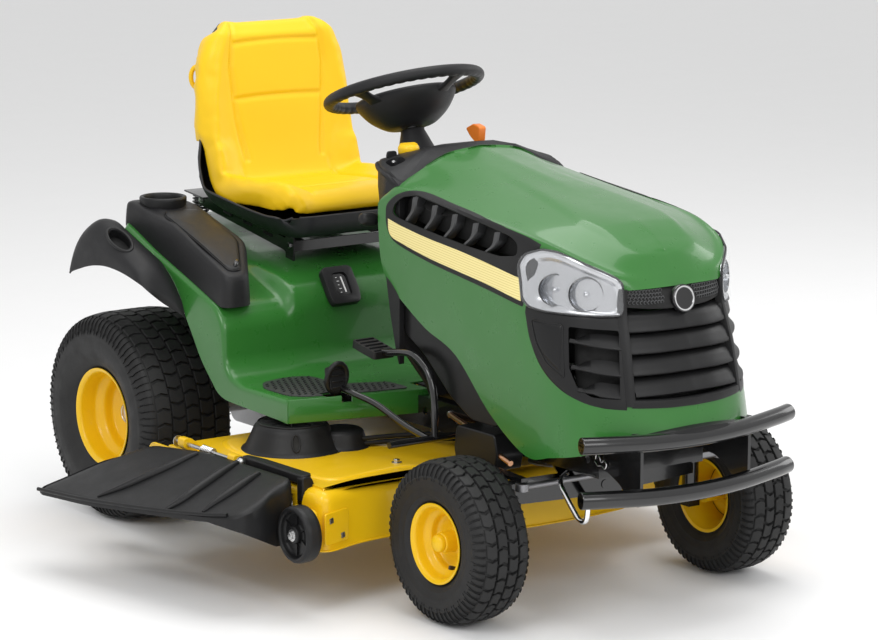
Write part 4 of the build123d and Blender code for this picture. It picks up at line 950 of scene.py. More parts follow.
def nose_grille():
    """Four concave louvres between upright bars, mesh strips and a plain oval badge at the top."""
    parts = []
    for side in (-1, 1):
        line = spline([(side * 137, 750), (side * 141, 700), (side * 148, 600), (side * 152, 505)], 24)
        rows = []
        for du, lift in ((-9, -12), (-8, 2.5), (-3, 4.5), (4, 4.5), (9, 2.0), (10, -12)):
            rows.append(on_skin(line + [du, 0], FRONT, lift, -1))
        parts.append(grid(np.array(rows), close_u=True))
    foot = spline([(-150, 506), (-75, 503), (0, 502), (75, 503), (150, 506)], 40)
    rows = [on_skin(foot + [0, dz], FRONT, lift, -1)
        for dz, lift in ((16, -30), (15, -2), (11, 3.5), (3, 4), (-4, 2), (-5, -12))]
    parts.append(grid(np.array(rows), close_u=True))
    piece("nose_bars", join(parts), BLACK_PLASTIC, "hood", stands_for=["hood_grille"],
        smooth=45)
    blades = []
    for i in range(4):
        z = 668 - i * 45
        xs = np.linspace(-140, 140, 45)
        low = on_skin(np.stack([xs, np.full(45, z - 2.0)], 1), FRONT, 0, -1)
        centre = 1 - (np.abs(xs) / 140) ** 2
        rows = []
        for dy, dz in ((34, 34), (26, 35), (14, 27), (7, 17), (3, 8), (-1, 2), (-2, -3), (1, -6), (8, -5),
                (22, -1), (34, 4)):
            rows.append(low + np.stack([np.zeros(45), dy + 5 * centre, dz - 2.5 * (1 - centre)], 1))
        blades.append(grid(np.array(rows), close_u=True))
    piece("nose_louvres", join(blades), BLACK_PLASTIC, "hood", smooth=50)
    # Painted shade: a near-black strip behind the mesh cells, so that the holes read dark.
    mesh_shade_fill = pad([(-136, 749), (-70, 750), (0, 750), (70, 750), (136, 749)],
        [(-138, 712), (-70, 708), (0, 707), (70, 708), (138, 712)], FRONT, lift=-4, thick=6, across=8,
        along=60, side=-1, edge=1)
    piece("nose_band", mesh_shade_fill, PAINTED_SHADE_BLACK, "hood")
    # Painted shade: a near-black sheet deep behind the louvres, where only shadow falls.
    piece("nose_shade_fill", pad([(-146, 712), (0, 712), (146, 712)], [(-148, 506), (0, 506), (148, 506)],
        FRONT, lift=-46, thick=4, across=6, along=24, side=-1, edge=1), PAINTED_SHADE_BLACK, "hood")
    cells = []
    for side in (-1, 1):
        for row in range(4):
            for k in range(11):
                x = side * (46 + k * 8.2 + 4.1 * (row % 2))
                spot = on_skin([(x, 744 - row * 7.6)], FRONT, -3.6, -1)[0]
                ring = [spot + np.array([4.1 * cos(a), 0.2, 3.9 * sin(a)])
                    for a in np.linspace(0, 2 * pi, 7)]
                cells.append(tube(ring, 1.25, 5, ends=False))
    piece("nose_mesh", join(cells), FIN_GREY, "hood", smooth=60)
    spot = on_skin([(2, 722)], FRONT, 0, -1)[0]
    disc = lathe([(-4, 31), (3, 31), (6, 29.5), (7, 27), (5.5, 24.5), (5, 20), (5, 0.5)], (0, 0, 0), "z",
        1, 64)
    piece("nose_boss", on_face(disc, spot, (0, -0.97, 0.22), (0, 0.2, 1)), BLACK_GLOSS, "hood",
        smooth=40)
    ring = lathe([(4.5, 27.5), (7.2, 27), (7.6, 25.4), (7.2, 24), (4.5, 23.6)], (0, 0, 0), "z", 1, 64)
    piece("nose_boss_ring", on_face(ring, spot, (0, -0.97, 0.22), (0, 0.2, 1)), CHROME, "hood",
        smooth=50)


def shelled(obj, thickness):
    """Gives an open sheet a thickness inwards."""
    mod = obj.modifiers.new("thick", "SOLIDIFY")
    mod.thickness = thickness / 1000
    mod.offset = -1
    bake(obj)
    return obj


# ------------------------------------------------------------------ steering wheel, column and dash
WHEEL_HUB, WHEEL_TILT = (0, -510, 1070), -20


def on_wheel(part):
    """From the steering wheel's own frame (axis along z) to the machine."""
    return turned(moved(part, *WHEEL_HUB), (1, 0, 0), WHEEL_TILT, WHEEL_HUB)


def make_steering():
    """Steering wheel with finger grips underneath, bowl, spokes and column cone."""
    rows = []
    for k in range(288):
        a = 2 * pi * k / 288
        row = []
        for m in range(28):
            b = 2 * pi * m / 28
            under = max(0.0, cos(b - math.radians(235)))
            r = 14.2 - 1.6 * under * (0.5 + 0.5 * cos(44 * a)) ** 2
            rr = 180 + r * cos(b)
            row.append((rr * cos(a), rr * sin(a), r * sin(b)))
        rows.append(row)
    rim = grid(np.array(rows), close_u=True, close_v=True)
    piece("wheel_rim", on_wheel(rim), BLACK_GRAIN, "steering",
        stands_for=["steering_wheel"], smooth=60)
    bowl = spline([(-92, 13), (-93, 44), (-87, 64), (-66, 92), (-44, 110), (-28, 119), (-19, 120.5),
        (-13, 117), (-17, 110), (-26, 100), (-36, 80), (-42, 50), (-44, 0.5)], 70)
    piece("wheel_bowl", on_wheel(lathe(bowl, (0, 0, 0), "z", 1, 96)), BLACK_GRAIN, "steering",
        smooth=50)
    spokes = []
    for a, wide in ((61, 26), (196, 19), (285, 19)):
        rows = []
        for t in np.linspace(0, 1, 22):
            r = 106 + 68 * t
            z = -30 + 28 * t ** 1.2
            w = wide * (0.80 + 0.55 * (2 * t - 1) ** 2)
            h = 8.5 - 2.5 * sin(pi * t)
            row = []
            for m in range(20):
                b = 2 * pi * m / 20
                cx, sx = cos(b), sin(b)
                row.append((r, w * math.copysign(abs(cx) ** 0.6, cx),
                    z + h * math.copysign(abs(sx) ** 0.7, sx)))
            rows.append(row)
        spokes.append(turned(grid(np.array(rows), close_v=True), (0, 0, 1), a))
    piece("wheel_spokes", on_wheel(join(spokes)), BLACK_GRAIN, "steering", smooth=60)
    cap = [(-43, 34), (-40.5, 33.4), (-39.6, 31), (-39, 26), (-38.6, 0.5)]
    piece("wheel_cap", on_wheel(lathe(cap, (0, 0, 0), "z", 1, 64)), BLACK_SATIN, "steering",
        smooth=40)
    cone = spline([(-199, 69), (-193, 64), (-184, 59), (-150, 45), (-118, 34), (-104, 29), (-98, 27.5),
        (-96, 24), (-96, 13)], 50)
    piece("column_cone", on_wheel(lathe(cone, (0, 0, 0), "z", 1, 72)), BLACK_GRAIN, "chassis",
        smooth=45)


PTO, KEY = (-112, -684), (-172, -700)
DASH_PLAN = [(236, -822), (238, -770), (214, -700), (160, -640), (90, -604), (0, -592), (-90, -604),
    (-160, -640), (-214, -700), (-238, -770), (-236, -822)]


def dash_z(points):
    """Height of the dash's top, crowned where it meets the hood."""
    x, y = points[:, 0], points[:, 1]
    base = np.interp(y, [-822, -780, -700, -606, -588], [906, 926, 938, 932, 915])
    return base + 52 * np.maximum(0, 1 - (x / 215) ** 2) * np.clip((-y - 650) / 110, 0, 1)


def make_dash():
    """Dash tower with its levers, knob, key and the panels below it."""
    plan = rounded(DASH_PLAN, 40, 8)
    rings = []
    levels = ((400, 0.60, 0.25), (430, 0.66, 0.25), (500, 0.88, 0.28), (545, 0.98, 0.32), (600, 1, 0.45),
        (700, 1, 0.62), (790, 1, 0.82), (850, 1, 0.96), (880, 1, 1))
    for z, kx, ky in levels:
        rings.append(np.column_stack([plan[:, 0] * kx, -822 + (plan[:, 1] + 822) * ky,
            np.full(len(plan), float(z))]))
    for shrink, drop in ((0, 12), (1.5, 5), (5, 1), (11, 0)):
        o = inset(plan, shrink)
        rings.append(np.column_stack([o, dash_z(o) - drop]))
    mid = plan.mean(0)
    for k in (0.8, 0.6, 0.4, 0.2, 0.04):
        o = mid + (plan - mid) * k
        rings.append(np.column_stack([o, dash_z(o)]))
    tower = piece("dash_body", stacked(rings, floor=True), BLACK_GRAIN, "chassis",
        stands_for=["dash_tower"], smooth=35)
    pocket = rounded([(-214, -760), (-176, -764), (-166, -735), (-172, -716), (-204, -716)], 12)
    cut(tower, [prism(pocket, "z", 905, 990),
        prism(rounded([(89, -735), (115, -735), (115, -615), (89, -615)], 8), "z", 840, 990)])
    shade(tower, 35)
    lip = []
    for x, y in rounded(DASH_PLAN, 40, 8):
        lip.append((x * 1.004, y + 1.5, dash_z(np.array([[x, y]]))[0] - 11))
    piece("dash_lip", tube(np.array(lip), 5.5, 12), BLACK_GRAIN, "chassis", smooth=60)
    panel = moved(prism(rounded([(58, -640), (58, -668), (84, -672), (86, -646)], 4), "z", 0, 2.5), 0, 0,
        935.5)
    piece("throttle_panel", panel, GREY_PLATE, "chassis", smooth=30, bevel=0.8)
    ticks = [moved(brick(63, 81, -650 - 6 * k, -648.6 - 6 * k, 0, 0.6), 0, 0, 938) for k in range(4)]
    piece("throttle_marks", join(ticks), BLACK_SATIN, "chassis")
    knob = [(0, 11), (2, 21), (5, 24), (12, 25), (17, 24.6), (22, 22), (25, 18), (26, 12), (25.5, 0.5)]
    parts = [lathe(spline(knob, 30), (*PTO, 944), "z", 1, 48)]
    for k in range(9):
        dx = -16 + 4 * k
        half = math.sqrt(max(0, 20 ** 2 - dx * dx))
        parts.append(tube([(PTO[0] + dx, PTO[1] - half, 968.4), (PTO[0] + dx, PTO[1], 970.6),
            (PTO[0] + dx, PTO[1] + half, 968.4)], [0.9, 1.3, 0.9], 8))
    piece("pto_knob_full", join(parts), YELLOW_PLASTIC, "pto_knob",
        stands_for=["pto_knob"], smooth=50)
    piece("pto_collar", lathe([(0, 30), (2, 29), (3, 26), (3.2, 17)], (*PTO, 939), "z", 1, 40),
        BLACK_SATIN, "chassis", smooth=40)
    piece("key_collar", lathe([(-2, 19), (2.5, 18.4), (4, 16), (4.2, 9)], (*KEY, 937), "z", 1, 40), ZINC,
        "chassis", smooth=40)
    key = join([tube([(*KEY, 934), (*KEY, 943)], 7.5, 20),
        prism(rounded([(-187, 943), (-157, 943), (-160, 959), (-184, 959)], 6), "y", -703, -697)])
    piece("ignition_key_full", key, BLACK_PLASTIC, "ignition_key",
        stands_for=["ignition_key"], smooth=40, bevel=1.0)
    grip = [(-682, 955), (-666, 955), (-648, 966), (-630, 984), (-660, 998), (-686, 992)]
    lever = join([prism(rounded(grip, 7), "x", 92, 112),
        prism([(-676, 880), (-664, 880), (-664, 962), (-682, 962)], "x", 99, 105)])
    piece("throttle_lever_full", lever, ORANGE, "throttle_lever", stands_for=["throttle_lever"],
        smooth=35, bevel=2.5)
    piece("parking_grip", moved(turned(lathe(spline([(0, 6), (2, 14), (12, 17), (30, 16), (40, 13),
        (44, 6), (44.5, 0.5)], 26), (0, 0, 0), "x", -1, 32), (0, 1, 0), 8), -228, -716, 806),
        BLACK_PLASTIC, "parking_brake_lever", stands_for=["parking_brake_lever"], smooth=45)
    side_panels = []
    for s in (-1, 1):
        outline = [(-826, 640), (-826, 900), (-790, 918), (-772, 900), (-764, 820), (-770, 700),
            (-790, 600), (-812, 520), (-826, 480)]
        side_panels.append(prism(rounded(outline, 14), "x", s * 226, s * 240))
    piece("tower_side_panels", join(side_panels), BLACK_GRAIN, "chassis", smooth=35,
        bevel=4)
    inner = []
    for s in (-1, 1):
        outline = [(-820, 632), (-1040, 545), (-1180, 440), (-1180, 400), (-1080, 400), (-1000, 440),
            (-900, 520), (-822, 560)]
        inner.append(prism(rounded(outline, 18), "x", s * 205, s * 224))
    piece("engine_side_shields", join(inner), BLACK_SATIN, "chassis", smooth=35, bevel=3)


# ------------------------------------------------------------------ fender, flares and storage box
FENDER_OUT = [(-745, 408), (-500, 408), (-455, 420), (-430, 450), (-424, 540), (-395, 578), (-340, 598),
    (-240, 632), (-120, 670), (0, 716), (60, 735), (200, 735), (222, 722), (226, 640)]
FENDER_IN = [(-745, 408), (-500, 408), (-455, 420), (-430, 450), (-426, 560), (-402, 604), (-340, 626),
    (-240, 642), (-120, 655), (0, 672), (100, 686), (170, 694), (210, 694), (226, 640)]
FENDER_LOW = [(-745, 352), (-475, 360), (-430, 363), (-400, 373), (-330, 440), (-285, 505), (-262, 536),
    (-228, 594), (-120, 662), (0, 704), (60, 716), (190, 700), (205, 690), (206, 640)]


TUNNEL_HALF, TUNNEL_STEP, FENDER_HALF = 245, 40, 460.0
FILLER = (300, -330)


def fender_z(y, x):
    """Height of the fender's top at (x, y)."""
    def at(line):
        p = np.array(line[5:], float)
        return float(np.interp(y, p[:7, 0], p[:7, 1]))

    t = ease((abs(x) - TUNNEL_HALF) / TUNNEL_STEP)
    return at(FENDER_OUT) * t + at(FENDER_IN) * (1 - t)


def enclosed(outline, x, y):
    """True where (x, y) lies inside the outline."""
    p = np.asarray(outline, float)
    q = np.roll(p, -1, 0)
    spans = (p[:, 1] > y) != (q[:, 1] > y)
    run = np.where(q[:, 1] == p[:, 1], 1e-9, q[:, 1] - p[:, 1])
    at = p[:, 0] + (y - p[:, 1]) / run * (q[:, 0] - p[:, 0])
    return int(np.sum(spans & (at > x))) % 2 == 1


def make_fender():
    """Fender and floor in one skin, foot mats, and all that stands on them."""
    radius, steps = 26, 6
    out_line = rounded(FENDER_OUT, radius, steps, closed=False)
    in_line = rounded(FENDER_IN, radius, steps, closed=False)
    low_line = rounded(FENDER_LOW, radius, steps, closed=False)
    cols = [0, 50, 100, 150, 200, 235, 245, 252, 258, 264, 271, 278, 287, 310, 340, 370, 400, 425, 440,
        448]
    corner = (-660 - out_line[0][0]) / (out_line[1][0] - out_line[0][0])
    out_line, in_line, low_line = (np.insert(q, 1, q[0] + (q[1] - q[0]) * corner, 0)
        for q in (out_line, in_line, low_line))
    rows = []
    for o, i, low in zip(out_line, in_line, low_line):
        y = (o[0] + i[0]) / 2
        w = FENDER_HALF
        if y > 8:
            w = max(300.0, FENDER_HALF - (y - 8) * 0.84)
        row = []
        for c in cols:
            t = ease((c - TUNNEL_HALF) / TUNNEL_STEP)
            p = i * (1 - t) + o * t
            row.append((c * w / FENDER_HALF, p[0], p[1]))
        d = low - o
        length = max(1.0, np.linalg.norm(d))
        for c, drop in ((453, 1.2), (457, 4.0), (459.3, 8.0), (460, 13.0)):
            f = min(drop, length * 0.6) / length
            row.append((c * w / FENDER_HALF, *(o + d * f)))
        for f in (0.4, 0.7, 1.0):
            share = max(f, min(13.0, length * 0.6) / length)
            row.append((w, *(o + d * share)))
        rows.append(row)
    right = np.array(rows)
    right[0, :, 1] = -779 + 0.247 * (right[0, :, 0] - 118)
    left = right[:, ::-1] * np.array([-1, 1, 1])
    whole = np.concatenate([left, right[:, 1:]], 1)
    skin = piece("fender_skin", grid(whole), GREEN_PAINT, "chassis",
        stands_for=["fender_deck"], smooth=35)
    shelled(skin, 3)
    tools = [prism([(-121, -830), (121, -830), (121, -700), (-121, -700)], "z", 330, 430)]
    tools.append(prism(rounded([(387, -192), (413, -192), (413, 62), (387, 62)], 6), "z", 560, 800))
    pedal_slot = prism(rounded([(-368, -722), (-302, -722), (-302, -684), (-368, -684)], 8), "z", 330,
        430)
    arm_notch = prism([(-332, -800), (-306, -800), (-306, -700), (-332, -700)], "z", 392, 430)
    tools += [pedal_slot, arm_notch]
    tools.append(prism(disc_line(*FILLER, 26, 33), "z", 560, 700))
    cut(skin, tools)
    shade(skin, 35)
    lips = []
    for s in (-1, 1):
        outline = [(s * 121, -780), (s * 456, -697), (s * 460, -690), (s * 457, -688), (s * 454, -692),
            (s * 121, -776)]
        lips.append(prism(outline, "z", 352, 407.4))
    front = piece("fender_front_lip", join(lips), GREEN_PAINT, "chassis", smooth=40,
        bevel=1.0)
    bake(front)
    cut(front, [arm_notch])
    shade(front, 40)
    mat_shape = rounded([(-404, -506), (-322, -486), (-272, -510), (-262, -620), (-156, -668),
        (-156, -752), (-250, -733), (-404, -696), (-436, -660), (-436, -560)], 20, 6)
    mats = prism(mat_shape, "z", 407.6, 410.6)
    rubber = piece("foot_mats", both(mats), MAT_RUBBER, "chassis", smooth=35, bevel=0.8)
    bake(rubber)
    cut(rubber, [pedal_slot, arm_notch])
    shade(rubber, 35)
    bound = inset(mat_shape, 9)
    dots = []
    for i in range(15):
        for j in range(17):
            y, x = -740 + i * 17, -428 + j * 17 + 8.5 * (i % 2)
            if enclosed(bound, x, y) and not (x < -290 and y < -676 and x > -380):
                dots.append(turned(brick(x - 5.5, x + 5.5, y - 1.8, y + 1.8, 410.4, 412.4), (0, 0, 1), 38,
                    (x, y, 410)))
    piece("foot_mat_ribs", both(join(dots)), BLACK_GRAIN, "chassis", smooth=35)
    make_flares()
    make_box()
    make_gauge()


def on_face(part, origin, normal, along):
    """Moves a part drawn about z = up onto a surface point; its y axis follows along."""
    w = np.asarray(normal, float) / np.linalg.norm(normal)
    v = np.asarray(along, float)
    v = v - w * (v @ w)
    v /= np.linalg.norm(v)
    u = np.cross(v, w)
    p = np.asarray(part[0], float)
    return p[:, :1] * u + p[:, 1:2] * v + p[:, 2:] * w + np.asarray(origin, float), part[1]


def make_gauge():
    """Fuel gauge window in its black frame, on the brow of the fender's front wall."""
    at, normal, up = (-120, -420, 598), (0, -0.80, 0.60), (0, 0.6, 0.8)
    bezel = rounded([(-42, -50), (36, -50), (44, -20), (44, 44), (34, 50), (-34, 50), (-44, 40),
        (-46, -30)], 12, 5)
    window = rounded([(-22, -28), (20, -28), (22, 24), (14, 32), (-16, 32), (-24, 20)], 8, 5)
    ring = piece("gauge_bezel", on_face(prism(bezel, "z", -12, 7), at, normal, up), BLACK_PLASTIC,
        "chassis", smooth=35, bevel=3.0)
    bake(ring)
    cut(ring, [on_face(prism(window, "z", 1.5, 20), at, normal, up)])
    shade(ring, 35)
    piece("gauge_window", on_face(prism(window, "z", 0, 2.4), at, normal, up), BLACK_GLOSS, "chassis",
        smooth=35, bevel=0.5)
    marks = [brick(-10, -6 + 3 * (k % 2), -20 + 10 * k, -18.6 + 10 * k, 2.2, 2.9) for k in range(5)]
    marks.append(brick(4, 8, -20, 22, 2.2, 2.9))
    piece("gauge_marks", on_face(join(marks), at, normal, up), LABEL_WHITE, "chassis")


FLARE_NET = [
    [(461, -264, 531), (463, -263, 534), (466, -262, 537), (469, -260, 540), (471, -259, 541),
        (472, -258, 541)],
    [(461, -252, 562), (472, -249, 570), (485, -246, 575), (498, -242, 576), (507, -238, 574),
        (512, -236, 572)],
    [(461, -238, 583), (478, -233, 596), (500, -228, 604), (522, -228, 606), (535, -230, 602),
        (540, -232, 598)],
    [(461, -205, 618), (480, -200, 633), (508, -198, 642), (538, -200, 640), (552, -203, 630),
        (556, -205, 617)],
    [(461, -159, 651), (480, -156, 662), (510, -155, 668), (540, -153, 662), (553, -151, 652),
        (557, -150, 629)],
    [(461, -110, 669), (480, -109, 682), (512, -108, 689), (541, -105, 681), (554, -102, 664),
        (557, -100, 635)],
    [(461, -64, 684), (480, -63, 700), (514, -62, 708), (542, -58, 697), (554, -54, 674),
        (557, -50, 636)],
    [(461, -20, 700), (480, -19, 716), (515, -18, 725), (542, -12, 709), (554, -5, 677), (557, 0, 630)],
    [(461, 20, 714), (480, 21, 730), (515, 24, 736), (542, 29, 715), (554, 35, 674), (557, 40, 621)],
    [(461, 60, 716), (480, 61, 724), (513, 64, 722), (541, 68, 700), (554, 72, 660), (557, 75, 611)],
    [(461, 95, 698), (480, 96, 700), (512, 100, 694), (540, 99, 672), (553, 98, 642), (557, 97, 604)],
    [(461, 118, 655), (480, 120, 656), (511, 122, 650), (539, 119, 634), (552, 114, 616),
        (557, 111, 598)],
    [(461, 128, 610), (480, 130, 608), (510, 132, 602), (538, 128, 598), (550, 121, 596),
        (555, 116, 594)],
]


def make_flares():
    """The black flare over each rear wheel, with its hand hole."""
    part = grid(smooth_net(FLARE_NET, 5))
    for s, name in ((1, "left"), (-1, "right")):
        skin = piece(f"flare_{name}", part if s > 0 else flipped(part), BLACK_GRAIN, "chassis",
            stands_for=["fender_flares"] if s > 0 else (), smooth=40)
        outward_up(skin)
        shelled(skin, 3.5)
        tree = BVHTree.FromPolygons([v.co.copy() for v in skin.data.vertices],
            [tuple(q.vertices) for q in skin.data.polygons])
        start = Vector(to_metres([(s * 525, -74, 900)])[0])
        spot, normal, _, _ = tree.ray_cast(start, Vector((0, 0, -1)))
        at = (np.array(spot) - [OX, OY, 0]) * 1000
        along = (s * -4, 50, 18)
        hole = [(19 * cos(a), 46 * sin(a)) for a in np.linspace(0, 2 * pi, 33)[:-1]]
        cut(skin, [on_face(prism(hole, "z", -16, 40), at, normal, along)])
        shade(skin, 40)
        ring = np.array([(26 * cos(a), 56 * sin(a), 0) for a in np.linspace(0, 2 * pi, 49)])
        loft = []
        for dx, dz in ((0, -3), (0, 1.0), (1.2, 2.2), (5, 2.4), (6.2, 1.2), (7.2, -4), (8, -26)):
            shrink = np.array([(26 - dx) / 26, (56 - dx * 1.15) / 56, 1])
            loft.append(ring * shrink + [0, 0, dz])
        piece(f"flare_hole_lip_{name}", on_face(grid(np.array(loft)), at, normal, along), BLACK_PLASTIC,
            "chassis", smooth=50)
        # Painted shade: a near-black plate under the hand hole, where only shadow falls.
        pan = on_face(prism([(1.05 * x, 1.05 * y) for x, y in hole], "z", -27, -24), at, normal, along)
        piece(f"flare_hole_shade_fill_{name}", pan, PAINTED_SHADE_BLACK, "chassis")


def outward_up(obj):
    """Turns an open sheet's faces so that most of them look up."""
    total = sum(p.normal.z * p.area for p in obj.data.polygons)
    if total < 0:
        obj.data.flip_normals()


def box_outline(grow):
    """The storage box in plan, front at -y."""
    plan = [(-448 - grow, -424 - grow), (-386 + grow, -424 - grow), (-304 + grow, -290),
        (-298 + grow, -60), (-298 + grow, 46 + grow), (-440 - grow, 46 + grow), (-446 - grow, -200)]
    return rounded(plan, 26, 6)


BOX_TOP = [(-440, 640), (-420, 650), (-380, 668), (-290, 705), (-170, 744), (-60, 766), (0, 772),
    (60, 772)]


def box_top(y):
    """Height of the storage box's top."""
    return np.interp(y, [p[0] for p in BOX_TOP], [p[1] for p in BOX_TOP])


def make_box():
    """Storage box with its lid and the cup holder."""
    rings = []
    for grow, mode in ((3, 0.0), (2.5, 0.3), (1.5, 0.6), (0, 0.86), (-2.5, 0.96), (-7, 1.0),
            (-14, 1.005)):
        ring = []
        for x, y in box_outline(grow):
            low = fender_z(max(min(y, 200), -395), x) - 14 if y > -400 else 578
            ring.append((x, y, low + (box_top(y) - low) * mode))
        rings.append(ring)
    centre = np.array(rings[-1]).mean(0)
    rings = np.array(rings)
    for k in (0.7, 0.4, 0.1):
        inner = centre + (rings[-1] - centre) * [k, k, 1]
        inner[:, 2] = box_top(inner[:, 1]) + 1
        rings = np.concatenate([rings, inner[None]])
    piece("storage_box_full", stacked(rings), BLACK_GRAIN, "chassis",
        stands_for=["storage_box"], smooth=40)
    lid_plan = rounded([(-424, -398), (-392, -400), (-326, -286), (-318, -110), (-352, -96), (-410, -96),
        (-428, -130), (-430, -290)], 22, 6)
    rows = []
    for k, dz in ((1.0, 0.4), (0.995, 3.0), (0.975, 4.6), (0.9, 5.4), (0.6, 6.4), (0.3, 7.0)):
        mid = lid_plan.mean(0)
        ring = mid + (lid_plan - mid) * k
        rows.append(np.stack([ring[:, 0], ring[:, 1], box_top(ring[:, 1]) + dz], 1))
    piece("storage_lid_full", stacked(rows), BLACK_PLASTIC, "storage_lid",
        stands_for=["storage_lid"], smooth=40)
    groove = np.stack([lid_plan[:, 0], lid_plan[:, 1], box_top(lid_plan[:, 1]) + 1.2], 1)
    mid = groove.mean(0)
    groove = mid + (groove - mid) * [1.03, 1.015, 1]
    piece("storage_lid_seam", bead(groove, 1.3), BLACK_SATIN, "chassis", smooth=60)
    notch = ((-404, -392), (-396, -384), (-388, -376), (-382, -366))
    scoop = [(x, y, box_top(y) + 5.6) for x, y in notch]
    piece("storage_lid_pull", tube(spline(scoop, 12), [1, 3, 5, 6, 6.5, 6.5, 6.5, 6.5, 6, 5, 3, 1], 14),
        BLACK_GLOSS, "storage_lid", smooth=60)
    cup = [(-34, 50), (0, 56), (14, 57.5), (18, 56.5), (19.5, 53), (18.5, 49), (14, 46.5), (0, 45),
        (-40, 43), (-44, 38), (-45, 0.5)]
    piece("cup_ring", lathe(spline(cup, 48), (-372, -26, 768), "z", 1, 72), BLACK_PLASTIC, "chassis",
        smooth=50)


# ------------------------------------------------------------------ seat
def padded_from(name, part, pressure, cap):
    """A stuffed cushion: blown up a little by a cloth pass with no weight, then kept within cap mm."""
    obj = piece(name, part, VINYL, "seat", smooth=60)
    remesh = obj.modifiers.new("voxels", "REMESH")
    remesh.mode = "VOXEL"
    remesh.voxel_size = 0.006
    bake(obj)
    start = np.array([v.co[:] for v in obj.data.vertices])
    cloth = obj.modifiers.new("fill", "CLOTH")
    s = cloth.settings
    s.quality = 5
    s.mass = 0.4
    s.tension_stiffness = s.compression_stiffness = 30
    s.shear_stiffness = 15
    s.bending_stiffness = 4
    s.use_pressure = True
    s.uniform_pressure_force = pressure
    s.effector_weights.gravity = 0
    cloth.point_cache.frame_start = 1
    cloth.point_cache.frame_end = 20
    for k in range(1, 21):
        bpy.context.scene.frame_set(k)
    bake(obj)
    bpy.context.scene.frame_set(1)
    now = np.array([v.co[:] for v in obj.data.vertices])
    if len(now) == len(start):
        move = now - start
        size = np.linalg.norm(move, axis=1)[:, None]
        now = start + move * np.minimum(1.0, (cap / 1000) / np.maximum(size, 1e-9))
        obj.data.vertices.foreach_set("co", now.ravel())
    soften = obj.modifiers.new("soften", "SMOOTH")
    soften.factor = 0.6
    soften.iterations = 14
    bake(obj)
    return obj


SEAT_BACK = [(-352, 770), (-345, 792), (-320, 803), (-260, 806), (-180, 802), (-100, 797), (-50, 794),
    (-18, 806), (2, 850), (16, 900), (28, 980), (38, 1080), (46, 1160), (55, 1186), (72, 1194),
    (88, 1188)]


def seat_half(z_or_y, upright):
    """Half the cushion's width, by height in the back and by y in the seat."""
    if not upright:
        return np.interp(z_or_y, [-352, -330, -250, -100, -18], [196, 212, 219, 222, 222])
    return np.interp(z_or_y, [800, 900, 1010, 1100, 1150, 1180, 1196],
        [222, 224, 222, 210, 190, 168, 140])


def make_seat():
    """The stuffed cushion, one closed shape over seat and back."""
    spine = spline(SEAT_BACK, 60)
    normal = left_normals(spine)
    rows = []
    fr = np.linspace(-1, 1, 61)
    for i, (y, z) in enumerate(spine):
        upright = i > 33
        half = seat_half(z, True) if upright else seat_half(y, False)
        taper = min(1.0, i / 5, (59 - i) / 5)
        row = []
        for t in fr:
            side = abs(t)
            swell = max(0.0, (side - 0.58) / 0.42) ** 1.6
            fall = max(0.0, (side - 0.90) / 0.10) ** 2
            bolster = (30 if upright else 46) * swell * (1 - fall) * taper
            edge = 20 * max(0.0, (side - 0.88) / 0.12) ** 2
            lift = bolster - edge
            row.append((half * t, y + normal[i][0] * lift, z + normal[i][1] * lift))
        rows.append(row)
    top = np.array(rows)
    back = top.copy()
    for i in range(len(top)):
        push = (60 if i > 34 else 36) if i > 4 else 22
        back[i] = top[i] - np.array([0, normal[i][0], normal[i][1]]) * push
        mid = back[i].mean(0)
        back[i, :, 1:] = back[i, :, 1:] * 0.4 + mid[1:] * 0.6
        back[i, :, 0] *= 0.965
    loop = np.concatenate([top, back[:, ::-1]], 1)
    cushion = padded_from("seat_cushion_full", stacked(loop, floor=True), pressure=4.0, cap=8.0)
    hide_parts("seat_cushion")
    press_seams(cushion)
    sub = cushion.modifiers.new("round", "SUBSURF")
    sub.levels = sub.render_levels = 1
    bake(cushion)
    shade(cushion, 60)


def press_seams(obj):
    """Sinks the sewn channels into the padding."""
    def groove(dist, wide, deep):
        return deep * math.exp(-((dist / wide) ** 2))

    for v in obj.data.vertices:
        x, y, z = (v.co.x - OX) * 1000, (v.co.y - OY) * 1000, v.co.z * 1000
        if z > 846 and y < 110:
            half = np.interp(z, [850, 950, 1080, 1150, 1200], [112, 128, 138, 130, 112])
            sink = groove(abs(x) - half, 5.5, 9)
            if abs(x) < half:
                sink = max(sink, groove(z - 1000 - 4 * (1 - (x / 130) ** 2), 5, 7),
                    groove(z - 1136 - 5 * (1 - (x / 130) ** 2), 5, 7))
            v.co.y += sink / 1000
        elif z > 760 and y < 0:
            sink = max(groove(abs(x) - np.interp(y, [-330, -100, 0], [128, 134, 130]), 5.5, 8)
                if y > -318 else 0, groove(y + 232, 5, 7) if abs(x) < 130 else 0)
            v.co.z -= sink / 1000


SHELL_LINE = [(-352, 756), (-350, 733), (-334, 713), (-288, 703), (-190, 709), (-100, 720), (0, 734),
    (42, 750), (68, 786), (86, 830), (95, 930), (105, 1060), (113, 1150), (116, 1172)]


